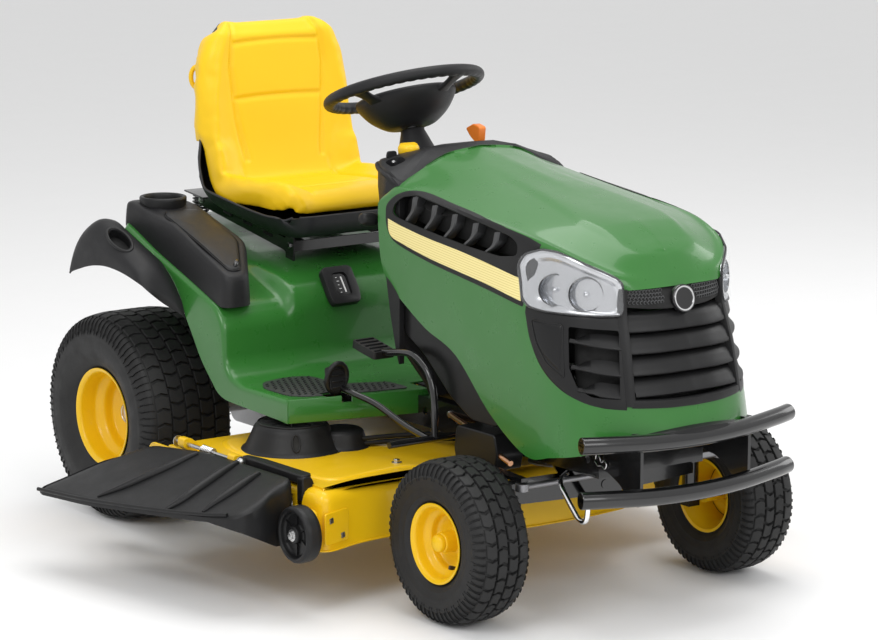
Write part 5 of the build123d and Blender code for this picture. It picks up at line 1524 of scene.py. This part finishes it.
def make_seat_shell():
    """The moulded pan behind the cushion, its bead, ribs and handles."""
    spine = spline(SHELL_LINE, 64)
    normal = left_normals(spine)
    rows = []
    for i, (y, z) in enumerate(spine):
        upright = z > 800 and y > 60
        half = np.interp(z, [800, 860, 930, 1010, 1100, 1150, 1175],
            [228, 224, 206, 188, 172, 150, 118]) if upright else np.interp(y,
            [-350, -330, -250, -100, 40], [202, 219, 227, 230, 230])
        taper = min(1.0, i / 4, (63 - i) / 4)
        row = []
        for t in np.linspace(-1, 1, 53):
            side = abs(t)
            rim = (np.interp(z, [800, 880, 1000], [52, 46, 22]) if upright else 50) * max(0.0,
                (side - 0.74) / 0.26) ** 1.7 * (0.35 + 0.65 * taper)
            row.append((half * t, y + normal[i][0] * rim, z + normal[i][1] * rim))
        rows.append(row)
    shell = piece("seat_shell_full", grid(np.array(rows)), PAN_GREY, "seat",
        stands_for=["seat_shell"], smooth=50)
    total = sum(p.normal.z * p.area for p in shell.data.polygons)
    if total > 0:
        shell.data.flip_normals()
    shelled(shell, -3.5)
    shade(shell, 50)
    edge = np.concatenate([np.array(rows)[:, 0], np.array(rows)[-1], np.array(rows)[::-1, -1],
        np.array(rows)[0][::-1]])
    piece("seat_shell_bead", tube(spline(edge[::3], 220), 3.4, 10), PAN_GREY, "seat",
        smooth=60)
    ribs = []
    for x in (-90, -30, 30, 90):
        line = [(x, 92 + 3.5, 850), (x, 100 + 3.5, 950), (x, 110 + 3.5, 1080)]
        ribs.append(tube(spline(line, 20), [1] + [4] * 18 + [1], 10))
    piece("seat_back_ribs", join(ribs), PAN_GREY, "seat", smooth=60)
    loops = []
    for s in (-1, 1):
        arc = [(s * 184 + 11 * cos(a), 112 + 10 * cos(a) * s, 1050 + 26 * sin(a))
            for a in np.linspace(0, 2 * pi, 41)]
        loops.append(tube(np.array(arc), 6, 14))
    piece("seat_back_handles", join(loops), YELLOW_PLASTIC, "seat", smooth=60)
    make_seat_mount()


def rail_z(y):
    """Height of the seat rail's top."""
    return 684 + 0.155 * (y + 262)


def make_seat_mount():
    """The bracket under the seat with its rails, bolts, slots and springs."""
    parts = []
    for s in (-1, 1):
        outline = [(-262, 684), (-262, 664), (-236, 652), (-214, 660), (176, 724), (182, 742), (176, 750),
            (120, 744)]
        parts.append(prism(rounded(outline, 5), "x", s * 146, s * 149.5))
        parts.append(prism([(-262, 684), (176, 752), (176, 748), (-262, 680)], "x", s * 112, s * 149))
        parts.append(prism([(-262, 682), (176, 750), (176, 738), (-262, 670)], "x", s * 112, s * 115))
    parts.append(prism([(-264, 686), (-258, 686), (-258, 660), (-264, 660)], "x", -149, 149))
    parts.append(prism(rounded([(118, 746), (206, 755), (206, 751), (118, 742)], 1), "x", -166, 166))
    piece("seat_bracket_full", join(parts), BLACK_GLOSS, "seat_base",
        stands_for=["seat_bracket"], smooth=35, bevel=1.2)
    bolts = []
    for s in (-1, 1):
        bolts.append(hex_bolt((s * 149.5, -250, 675), (s, 0, 0), r=7.5, head=5))
        bolts.append(hex_bolt((s * 149.5, 150, 735), (s, 0, 0), r=5.5, head=4))
    piece("seat_bolts", join(bolts), ZINC, "seat_base", smooth=35)
    # The rail slots are painted shade: flat near-black shapes in place of holes.
    slots = []
    for s in (-1, 1):
        for y in (-150, -60, 30):
            z = rail_z(y) - 12
            slots.append(turned(moved(prism(rounded([(-20, -4), (20, -4), (20, 4), (-20, 4)], 4), "x",
                -0.4, 0.4), s * 150, y, z), (1, 0, 0), 8.8, (s * 150, y, z)))
    piece("seat_rail_slot_shade", join(slots), PAINTED_SHADE_BLACK, "seat_base")
    coils = []
    for s in (-1, 1):
        t = np.linspace(0, 1, 220)
        turns = 5.5
        z = 697 + 46 * t
        r = 17.5 + 1.5 * np.cos(pi * (t - 0.5))
        a = 2 * pi * turns * t
        path = np.stack([s * 134 + r * np.cos(a), 178 + r * np.sin(a), z], 1)
        coils.append(tube(path, 3.2, 12))
    piece("seat_springs_full", join(coils), BLACK_GLOSS, "seat_base",
        stands_for=["seat_springs"], smooth=60)
    discs = [lathe([(0, 26), (3, 25), (4, 21), (6, 16), (6.4, 0.5)], (s * 134, 178, 691), "z", 1, 40)
        for s in (-1, 1)]
    piece("spring_seats", join(discs), STEEL, "chassis", smooth=45)


# ------------------------------------------------------------------ mower deck
DECK = [(-592, -1030), (-470, -990), (-320, -985), (-215, -1040), (-190, -1090), (-60, -1106),
    (90, -1106), (215, -1090), (240, -1040), (340, -985), (490, -990), (616, -1030), (616, -500),
    (560, -420), (200, -405), (-160, -405), (-560, -405), (-592, -450)]
SPINDLE_HOLE, COVER_SEAT = 24, 100
SPINDLES = ((-388, -650), (11, -780), (410, -650))


def inset(outline, amount):
    """The outline moved inwards by amount (outwards when negative)."""
    p = np.asarray(outline, float)
    nxt, prv = np.roll(p, -1, 0), np.roll(p, 1, 0)
    d = nxt - prv
    d /= np.linalg.norm(d, axis=1)[:, None]
    area = 0.5 * np.sum(p[:, 0] * nxt[:, 1] - nxt[:, 0] * p[:, 1])
    n = np.stack([-d[:, 1], d[:, 0]], 1) * (1 if area > 0 else -1)
    return p + n * amount


def make_deck():
    """The pressed deck with its step, plates, wheels, covers and chute."""
    plan = rounded(DECK, 46, 7)
    rings = []
    for grow, z in ((-7, 138), (-7, 140.5), (-1.5, 141.5), (0, 144), (0, 240), (2.0, 252), (7, 262),
            (15, 268), (26, 270.4), (34, 270.6)):
        rings.append(level(inset(plan, grow), z))
    deck = piece("deck_shell", stacked(rings), YELLOW_PAINT, "deck",
        stands_for=["mower_deck"], smooth=35)
    shelled(deck, 2.6)
    holes = [prism(disc_line(x, y, SPINDLE_HOLE, 33), "z", 240, 300) for x, y in SPINDLES]
    cut(deck, [prism(rounded([(-640, -910), (-560, -910), (-560, -470), (-640, -470)], 20), "z", 120,
        250), *holes])
    shade(deck, 35)
    step = rounded([(-530, -960), (-300, -930), (-150, -1040), (170, -1040), (310, -930), (560, -965),
        (560, -520), (500, -455), (-500, -455), (-540, -560)], 60, 7)
    rings = []
    for grow, z in ((0, 269), (1.5, 273), (5, 276.5), (11, 278.4), (20, 279)):
        rings.append(level(inset(step, grow), z))
    top = piece("deck_step", stacked(rings), YELLOW_PAINT, "deck", smooth=35)
    cut(top, [prism(disc_line(x, y, COVER_SEAT, 49), "z", 274.8, 300)
        for x, y in (SPINDLES[0], SPINDLES[2])])
    shade(top, 35)
    filler = prism(inset(plan, 27), "z", 264, 275.2)
    piece("deck_top_plate", filler, YELLOW_PAINT, "deck", smooth=35, bevel=2.0)
    plates, bolts = [], []
    for s, x0 in ((-1, -548), (1, 566)):
        normal, spot = (-s * 0.312, -0.95, 0), (x0, -1015.6 if s < 0 else -1014.5, 190)
        outline = rounded([(-42, -36), (42, -36), (42, 36), (-42, 36)], 8)
        plates.append(on_face(prism(outline, "z", -2, 3.4), spot, normal, (0, 0, 1)))
        for u, v in ((-22, 18), (20, -22)):
            head = turned(brick(-6, 6, -6, 6, 3, 6), (0, 0, 1), 8)
            bolts.append(on_face(moved(head, u, v, 0), spot, normal, (0, 0, 1)))
    piece("deck_front_plates", join(plates), YELLOW_PAINT, "deck", smooth=35, bevel=1.0)
    piece("deck_plate_bolts", join(bolts), STEEL, "deck", smooth=35, bevel=0.6)
    make_gauge_wheels()
    make_covers()
    make_chute()


def make_gauge_wheels():
    """Four gauge wheels, their bolts and arms."""
    arms = []
    for name, x, y, z in (("front_right", -641, -1010, 186), ("rear_right", -622, -300, 170),
            ("front_left", 664, -1010, 186), ("rear_left", 650, -300, 170)):
        s = 1 if x > 0 else -1
        at = (x, y, z)
        prof = [(-19, 20), (-19, 50), (-20, 54), (-20, 58), (-17, 62), (-10, 64), (10, 64), (17, 62),
            (20, 58), (20, 54), (18, 51), (9, 49), (5, 46), (4, 24), (6, 21), (17, 19.5), (19, 18),
            (19, 8.5)]
        wheel = [lathe(resample(rounded(prof, 2.5, 3, closed=False), 90), at, "x", s, 64)]
        for k in range(6):
            a = 2 * pi * k / 6
            near, far = sorted((4 * s, 9 * s))
            spoke = moved(brick(near, far, -1.8, 1.8, 20, 49), *at)
            wheel.append(turned(spoke, (1, 0, 0), math.degrees(a), at))
        piece(f"gauge_{name}_full", join(wheel), BLACK_PLASTIC, f"gauge_{name}",
            stands_for=[f"gauge_wheel_{name}"], smooth=45)
        piece(f"gauge_{name}_bolt",
            join([hex_bolt((x + s * 19, y, z), (s, 0, 0), r=9, head=6),
                bar((x - s * 20, y, z), (x - s * 27, y, z), 8)]), ZINC, "deck", smooth=35)
        arms.append((x, y, z, s))
    front, rear = [], []
    for x, y, z, s in arms:
        if y < -900:
            inner = x - s * 21
            plate = rounded([(y - 30, z - 26), (y + 34, z - 26), (y + 60, 240), (y - 30, 240)], 18)
            front.append(prism(plate, "x", inner - s * 7, inner))
        else:
            inner = x - s * 22
            plate = rounded([(y - 26, z - 24), (y + 26, z - 24), (y + 28, z + 26), (y - 30, 262),
                (-425, 262), (-425, 235), (y - 40, 228)], 12)
            rear.append(prism(plate, "x", inner - s * 6, inner))
            rear.append(brick(min(inner - s * 60, inner), max(inner - s * 60, inner), -455, -405, 262,
                268))
    piece("gauge_arms", join(front + rear), YELLOW_PAINT, "deck", smooth=35, bevel=1.5)


def make_covers():
    """Belt covers, belts, pulley, spindles and bolts on the deck."""
    parts = []
    for x, y in (SPINDLES[0], SPINDLES[2]):
        s = 1 if x > 0 else -1
        prof = spline([(0, 116), (2, 118), (5, 116), (12, 108), (40, 94), (56, 87), (63, 80), (65.5, 70),
            (66, 40), (66, 0.5)], 50)
        parts.append(lathe(prof, (x + s * 20, y + 16, 276), "z", 1, 80))
        small = spline([(0, 66), (3, 66), (8, 61), (30, 54), (40, 50), (45, 42), (46, 26), (46, 0.5)], 40)
        parts.append(lathe(small, (x - s * 86, y - 34, 276), "z", 1, 60))
    piece("belt_covers_full", join(parts), BLACK_PLASTIC, "deck",
        stands_for=["deck_belt_covers"], smooth=40)
    trims = []
    for x, y in (SPINDLES[0], SPINDLES[2]):
        s = 1 if x > 0 else -1
        x, y = x + s * 20, y + 16
        ring = [(x + 78 * cos(a), y + 78 * sin(a), 341) for a in np.linspace(0, 2 * pi, 49)]
        trims.append(tube(np.array(ring), 2.0, 8))
        for k in range(8):
            a = pi / 4 * k + 0.2
            trims.append(bar((x + 20 * cos(a), y + 20 * sin(a), 342),
                (x + 64 * cos(a), y + 64 * sin(a), 342), 1.8, 8))
    piece("cover_trims", join(trims), BLACK_PLASTIC, "deck", smooth=60)
    slots, ends = [], []
    for x, y in (SPINDLES[0], SPINDLES[2]):
        s = 1 if x > 0 else -1
        a = math.radians(-118 if s < 0 else -62)
        c = np.array([x + s * 20 + 98.5 * cos(a), y + 16 + 98.5 * sin(a), 310])
        oval = np.array([(9 * cos(b), 0, 20 * sin(b)) for b in np.linspace(0, 2 * pi, 33)])
        turn = np.array(Matrix.Rotation(a + pi / 2, 3, "Z"))
        tip = np.array(Matrix.Rotation(math.radians(-24), 3, "X"))
        ring = oval @ tip.T @ turn.T + c
        slots.append(tube(ring, 2.2, 8))
        v = np.concatenate([ring[:-1], [c]])
        ends.append((v, [(i, (i + 1) % 32, 32) for i in range(32)]))
    piece("cover_slots", join(slots), BLACK_PLASTIC, "deck", smooth=60)
    # The near-black fans that fill the slot openings are painted shade.
    piece("cover_slot_shade_fill", join(ends), PAINTED_SHADE_BLACK, "deck")
    belts = []
    for z in (288, 300):
        for sx in (-1, 1):
            x0 = 11 + sx * 399
            line = spline([(x0 - sx * 40, -650 - 62, z), (11 + sx * 180, -760, z + 1),
                (11 + sx * 60, -835, z + 2)], 26)
            belts.append(tube(line, 5.6, 8))
    piece("deck_belts", join(belts), RUBBER, "deck", smooth=50)
    pulleys = [lathe([(0, 12), (0, 58), (4, 62), (6, 62), (10, 54), (14, 54), (18, 62), (20, 62),
        (24, 58), (24, 12)], (11, -780, 282), "z", 1, 64)]
    piece("centre_pulley", join(pulleys), STEEL, "deck", smooth=35)
    guard = [hex_bolt((11, -780, 306), (0, 0, 1), r=12, head=9)]
    for x, y in ((-470, -560), (-300, -900), (300, -900), (480, -560), (-80, -1000), (100, -1000)):
        guard.append(hex_bolt((x, y, 279), (0, 0, 1), r=8, head=6))
    piece("deck_bolts", join(guard), ZINC, "deck", smooth=35)
    hubs = [tube([(x, y, 271), (x, y, 250), (x, y, 180)], [44, 40, 20], 32) for x, y in SPINDLES]
    piece("spindle_housings", join(hubs), ALLOY, "deck", smooth=40)


CHUTE_PLAN = [(-606, -936), (-662, -938), (-700, -956), (-774, -960), (-796, -880), (-830, -700),
    (-868, -480), (-886, -292), (-780, -345), (-650, -410), (-611, -600)]


def roof_z(x):
    """Height of the chute's roof."""
    return np.interp(-x, [600, 660, 760, 830, 890], [294, 275, 238, 206, 180])


def make_chute():
    """The deflector with its ribs, lip, hinge and spring."""
    plan = resample(np.concatenate([rounded(CHUTE_PLAN, 26, 6), rounded(CHUTE_PLAN, 26, 6)[:1]]),
        160)[:-1]
    mid = plan.mean(0)
    rings = []
    for k, drop in ((1.02, 132), (1.016, 60), (1.012, 20), (1.008, 9), (0.99, 2.5), (0.965, 0.3),
            (0.9, 0), (0.6, 0), (0.25, 0)):
        o = mid + (plan - mid) * k
        side_drop = np.full(len(o), float(drop))
        outer = np.clip((-o[:, 0] - 655) / 145, 0, 1)
        rearward = np.clip((o[:, 1] + 440) / 80, 0, 1)
        side_drop = np.where(side_drop > 9, side_drop * (1 - 0.93 * np.maximum(outer, rearward)),
            side_drop)
        rings.append(np.stack([o[:, 0], o[:, 1], roof_z(o[:, 0]) - side_drop], 1))
    skin = piece("chute_skin", stacked(rings), BLACK_PLASTIC, "chute",
        stands_for=["discharge_chute"], smooth=45)
    outward_up(skin)
    shelled(skin, 3.4)
    shade(skin, 45)
    ribs = []
    for path, r in (([(-618, -726), (-700, -740), (-780, -750), (-826, -740)], 13),
            ([(-628, -830), (-700, -842), (-790, -850)], 12),
            ([(-632, -580), (-700, -570), (-780, -545), (-850, -500)], 11)):
        line = spline(path, 24)
        z = roof_z(line[:, 0]) + 1
        radii = r * np.sin(np.linspace(0.35, pi - 0.1, 24)) ** 0.6
        ribs.append(tube(np.column_stack([line, z]), radii, 14))
    piece("chute_ribs", join(ribs), BLACK_PLASTIC, "chute", smooth=60)
    lip = spline([(-778, -930), (-798, -860), (-832, -700), (-870, -480), (-890, -300)], 40)
    piece("chute_lip", tube(np.column_stack([lip, roof_z(lip[:, 0]) + 2.5]), 4.5, 12), BLACK_PLASTIC,
        "chute", smooth=60)
    plate = rounded([(-591, -944), (-566, -944), (-556, -930), (-560, -760), (-570, -700), (-590, -700)],
        9)
    wall = rounded([(-592, 160), (-572, 160), (-558, 190), (-558, 270), (-566, 292), (-592, 296)], 10)
    mount = join([prism(plate, "z", 276, 297), prism(wall, "y", -950, -926)])
    piece("chute_mount", mount, BLACK_PLASTIC, "deck", smooth=35, bevel=3.0)
    ears = []
    for y in (-690, -480):
        ears.append(prism(rounded([(-598, 268), (-570, 268), (-570, 282), (-594, 300), (-612, 300),
            (-614, 280)], 6), "y", y - 14, y + 14))
    piece("chute_hinge_ears", join(ears), YELLOW_PAINT, "deck", smooth=35, bevel=1.0)
    rod = [bar((-602, -716, 286), (-602, -452, 286), 4.5, 16),
        hex_bolt((-602, -716, 286), (0, -1, 0), r=9, head=6), hex_bolt((-602, -452, 286), (0, 1, 0), r=9,
            head=6)]
    piece("chute_hinge_pin", join(rod), ZINC, "deck", smooth=40)
    t = np.linspace(0, 1, 160)
    a = 2 * pi * 7 * t
    coil = np.stack([-602 + 9 * np.cos(a), -600 + 44 * t, 286 + 9 * np.sin(a)], 1)
    leg = np.concatenate([coil, [(-600, -556, 296), (-575, -552, 284)]])
    piece("chute_spring", tube(leg, 1.7, 8), CHROME, "deck", smooth=60)


# ------------------------------------------------------------------ front end, pedals and small controls
def make_bumper():
    """Two bumper tubes on their brackets, and the trim above them."""
    parts = []
    for z in (429, 310):
        arc = spline([(-292, -1558, z + 10), (-240, -1573, z + 8), (-120, -1594, z + 2), (0, -1601, z),
            (120, -1594, z + 2), (240, -1573, z + 8), (292, -1558, z + 10)], 60)
        parts.append(tube(arc, 19, 28, ends=False))
        for end in (0, -1):
            p, q = arc[end], arc[1 if end == 0 else -2]
            way = (p - q) / np.linalg.norm(p - q)
            parts.append(tube([p, p + way * 1.5, p + way * 1.5, p - way * 40], [19, 18, 15.5, 15.2], 28,
                ends=False))
            parts.append(tube([p - way * 2, p - way * 3], [16, 16], 28))
    for s in (-1, 1):
        outline = rounded([(-1590, 292), (-1562, 290), (-1520, 330), (-1480, 348), (-1440, 352),
            (-1440, 400), (-1480, 404), (-1530, 420), (-1560, 450), (-1590, 448)], 9)
        parts.append(prism(outline, "x", s * 148, s * 156))
    nose = spline([(-222, -1520, 424), (-170, -1566, 430), (-88, -1599, 444), (0, -1609, 449),
        (88, -1599, 444), (170, -1566, 430), (222, -1520, 424)], 60)
    rows = []
    for dy, dz in ((10, -16), (0, -17), (-5, -10), (-6, 0), (-4, 6), (4, 9), (26, 8)):
        rows.append(nose + [0, dy, dz])
    piece("nose_under_trim", grid(np.array(rows), close_u=True), BLACK_PLASTIC, "chassis",
        smooth=50)
    piece("bumper_full", join(parts), BLACK_GLOSS, "chassis", stands_for=["bumper"],
        smooth=40, bevel=1.0)


def pad_block(x, y, z, w, h, tilt, ribs=5):
    """A ribbed rubber pedal pad."""
    outline = rounded([(-w / 2, -h / 2), (w / 2, -h / 2), (w / 2, h / 2), (-w / 2, h / 2)], 9, 5)
    parts = [prism(outline, "z", -10, 8)]
    for k in range(ribs):
        yy = -h / 2 + (k + 0.5) * h / ribs
        parts.append(tube([(-w / 2 + 5, yy, 8.5), (w / 2 - 5, yy, 8.5)], 2.6, 10))
    return moved(turned(join(parts), (1, 0, 0), tilt), x, y, z)


def make_pedals():
    """Drive pedals on the right and the brake pedal on the left."""
    piece("pedal_forward_pad", pad_block(-250, -738, 512, w=60, h=92, tilt=10), BLACK_PLASTIC,
        "pedal_forward", smooth=40, bevel=1.5)
    arm = spline([(-250, -745, 503), (-251, -800, 512), (-253, -888, 524), (-254, -940, 506),
        (-254, -966, 478), (-254, -980, 430), (-254, -983, 345)], 60)
    piece("pedal_forward_arm", tube(arm, 8.5, 16), BLACK_GLOSS, "pedal_forward",
        stands_for=["pedal_forward"], smooth=50)
    loop = np.array([(-335 + 27 * cos(a), -712 - 6 * sin(a), 448 + 34 * sin(a))
        for a in np.linspace(0, 2 * pi, 49)])
    piece("pedal_reverse_pad",
        join([tube(loop, 6.5, 14), pad_block(-335, -708, 446, w=44, h=56, tilt=78, ribs=4)]),
        BLACK_PLASTIC, "pedal_reverse", smooth=45, bevel=1.0)
    arm = spline([(-325, -716, 424), (-318, -760, 416), (-300, -820, 400), (-280, -900, 365),
        (-270, -982, 345)], 40)
    piece("pedal_reverse_arm", tube(arm, 7.5, 16), BLACK_GLOSS, "pedal_reverse",
        stands_for=["pedal_reverse"], smooth=50)
    piece("pedal_brake_pad", pad_block(290, -738, 512, w=88, h=92, tilt=14), BLACK_PLASTIC, "pedal_brake",
        smooth=40, bevel=1.5)
    arm = spline([(276, -745, 503), (262, -800, 512), (256, -888, 524), (255, -940, 506),
        (255, -966, 478), (255, -980, 430), (255, -983, 345)], 60)
    piece("pedal_brake_arm", tube(arm, 8.5, 16), BLACK_GLOSS, "pedal_brake",
        stands_for=["pedal_brake"], smooth=50)


def make_small():
    """Lift lever, fuel cap, rods, clips and bolts."""
    grip = spline([(0, 8), (3, 13), (12, 15.5), (40, 15), (70, 16), (96, 17), (108, 14), (112, 6),
        (112.5, 0.5)], 40)
    stick = spline([(400, -60, 560), (400, -52, 660), (400, -40, 760), (400, -28, 830)], 30)
    piece("lift_lever_bar", tube(stick, 7.5, 16), BLACK_GLOSS, "lift_lever",
        stands_for=["lift_lever"], smooth=50)
    way = turned(lathe(grip, (0, 0, 0), "z", 1, 32), (1, 0, 0), -9)
    piece("lift_lever_grip", moved(way, 400, -30, 808), BLACK_GRAIN, "lift_lever",
        smooth=60)
    prof = [(0, 27), (2, 30), (4, 32), (20, 32), (25, 30), (27, 25), (27.5, 0.5)]
    parts = [lathe(spline(prof, 40), (*FILLER, 612), "z", 1, 48)]
    for k in range(20):
        a = 2 * pi * k / 20
        c = (FILLER[0] + 31.5 * cos(a), FILLER[1] + 31.5 * sin(a))
        parts.append(tube([(c[0], c[1], 616), (c[0], c[1], 634)], 2.2, 8))
    parts.append(moved(turned(brick(-24, 24, -4, 4, 0, 7), (0, 0, 1), 25), *FILLER, 638))
    piece("fuel_cap_full", join(parts), BLACK_PLASTIC, "fuel_cap", stands_for=["fuel_cap"],
        smooth=45, bevel=0.8)
    neck = [(0, 34), (3, 34), (4, 31), (4, 24)]
    piece("fuel_neck_ring", lathe(neck, (*FILLER, 609), "z", 1, 48), BLACK_SATIN, "chassis",
        smooth=45)
    rods = [tube(spline([(-150, -900, 372), (-190, -1060, 360), (-220, -1160, 344), (-228, -1230, 330)],
        40), 6.5, 14)]
    copper = finish_mat("copper_plate", (0.62, 0.34, 0.20), rough=0.3, metal=1.0, grain=0.1, vary=0.15)
    piece("drag_rod", join(rods), copper, "chassis", smooth=60)
    lift = spline([(-150, -1330, 318), (-190, -1360, 314), (-214, -1400, 300), (-222, -1450, 262),
        (-226, -1474, 250), (-226, -1494, 256), (-226, -1500, 290)], 50)
    piece("front_lift_rod", tube(lift, 6, 14), CHROME, "front_axle", smooth=60)
    clip = spline([(-158, -1440, 372), (-160, -1446, 384), (-160, -1456, 380), (-160, -1462, 368),
        (-160, -1472, 374), (-160, -1480, 366), (-160, -1474, 356), (-159, -1462, 360),
        (-158, -1448, 358), (-158, -1438, 366)], 60)
    piece("hairpin_clip", tube(clip, 1.6, 8), CHROME, "chassis", smooth=60)
    bolts = []
    for s in (-1, 1):
        for y, z in ((-1100, 372), (-900, 372), (-700, 372), (-1380, 372), (-500, 372), (-200, 372)):
            bolts.append(hex_bolt((s * 146, y, z), (s, 0, 0), r=8, head=6))
    piece("frame_bolts", join(bolts), ZINC, "chassis", smooth=35)
    guard = prism(rounded([(-1180, 300), (-1040, 300), (-1030, 330), (-1040, 385), (-1180, 385),
        (-1190, 340)], 10), "x", -236, -160)
    piece("belt_guard_box", guard, BLACK_SATIN, "chassis", smooth=35, bevel=3)
    shroud = spline([(0, 0.5), (0, 60), (6, 92), (18, 104), (44, 108), (60, 106), (64, 98)], 36)
    piece("engine_fan_cowl", lathe(shroud, (0, -1140, 690), "z", -1, 64), BLACK_PLASTIC, "chassis",
        smooth=45)


def paint_hidden():
    """Finishes for the nodes that are shown as the CAD has them."""
    for node in ("frame_rails", "frame_crossmembers"):
        paint(node, BLACK_GLOSS)
    for node in ("battery", "fuel_tank"):
        paint(node, BLACK_PLASTIC)
    for node in ("blade_left", "blade_centre", "blade_right", "crank_pulley", "sector_gear",
            "steering_shaft", "tie_rod", "rear_axle_left", "rear_axle_right"):
        paint(node, STEEL)
    for node in ("front_axle_beam", "knuckle_left", "knuckle_right"):
        paint(node, BLACK_GLOSS)
    paint("transaxle", ALLOY)
    paint("engine_block", ALLOY)
    paint("engine_blower_housing", BLACK_PLASTIC)
    paint("muffler", STEEL)


make_wheels()
make_hood()
make_steering()
make_dash()
make_fender()
make_seat()
make_seat_shell()
make_deck()
make_bumper()
make_pedals()
make_small()
paint_hidden()


# ------------------------------------------------------------------ studio
def area_light(name, at, look, size, power):
    """A soft box in millimetres, aimed at a point."""
    data = bpy.data.lights.new(name, "AREA")
    data.shape = "RECTANGLE"
    data.size, data.size_y = size
    data.energy = power
    obj = bpy.data.objects.new(name, data)
    bpy.context.scene.collection.objects.link(obj)
    obj.location = to_metres([at])[0]
    aim = Vector(to_metres([look])[0]) - obj.location
    obj.rotation_euler = aim.to_track_quat("-Z", "Y").to_euler()


def make_studio():
    """Pale floor, even sky and four soft boxes."""
    mesh = bpy.data.meshes.new("floor")
    mesh.from_pydata([(-30, -30, 0), (30, -30, 0), (30, 30, 0), (-30, 30, 0)], [], [(0, 1, 2, 3)])
    floor = bpy.data.objects.new("floor", mesh)
    bpy.context.scene.collection.objects.link(floor)
    mesh.materials.append(FLOOR_MAT)
    world = bpy.data.worlds.new("studio")
    bpy.context.scene.world = world
    bpy.context.scene.view_settings.view_transform = "Standard"
    world.use_nodes = True
    world.node_tree.nodes["Background"].inputs["Color"].default_value = (1, 1, 1, 1)
    world.node_tree.nodes["Background"].inputs["Strength"].default_value = 0.78
    area_light("key", at=(-4200, -2600, 4200), look=(0, -600, 500), size=(3.0, 2.2), power=95)
    area_light("front", at=(-600, -5200, 2600), look=(0, -700, 500), size=(3.4, 1.6), power=50)
    area_light("top", at=(400, -500, 4600), look=(0, -500, 400), size=(4.0, 3.0), power=100)
    area_light("side", at=(4600, -1500, 2500), look=(0, -500, 500), size=(2.6, 2.0), power=40)


def make_camera():
    """A long lens over the machine's right front corner."""
    cam = bpy.data.objects.new("camera", bpy.data.cameras.new("camera"))
    bpy.context.scene.collection.objects.link(cam)
    cam.data.sensor_width = 36
    cam.data.lens = 141.59
    cam.data.shift_x = -0.0098
    cam.data.shift_y = -0.0015
    cam.data.clip_end = 100
    right = Vector((0.8036670, -0.5950664, 0.0039232))
    up = Vector((0.1089781, 0.1536553, 0.9820966))
    fwd = Vector((0.5850155, 0.7888511, -0.1883369))
    m = Matrix((right, up, -fwd)).transposed().to_4x4()
    m.translation = Vector(to_metres([(-4757.239, -7101.797, 2076.621)])[0])
    cam.matrix_world = m
    bpy.context.scene.camera = cam


make_studio()
make_camera()
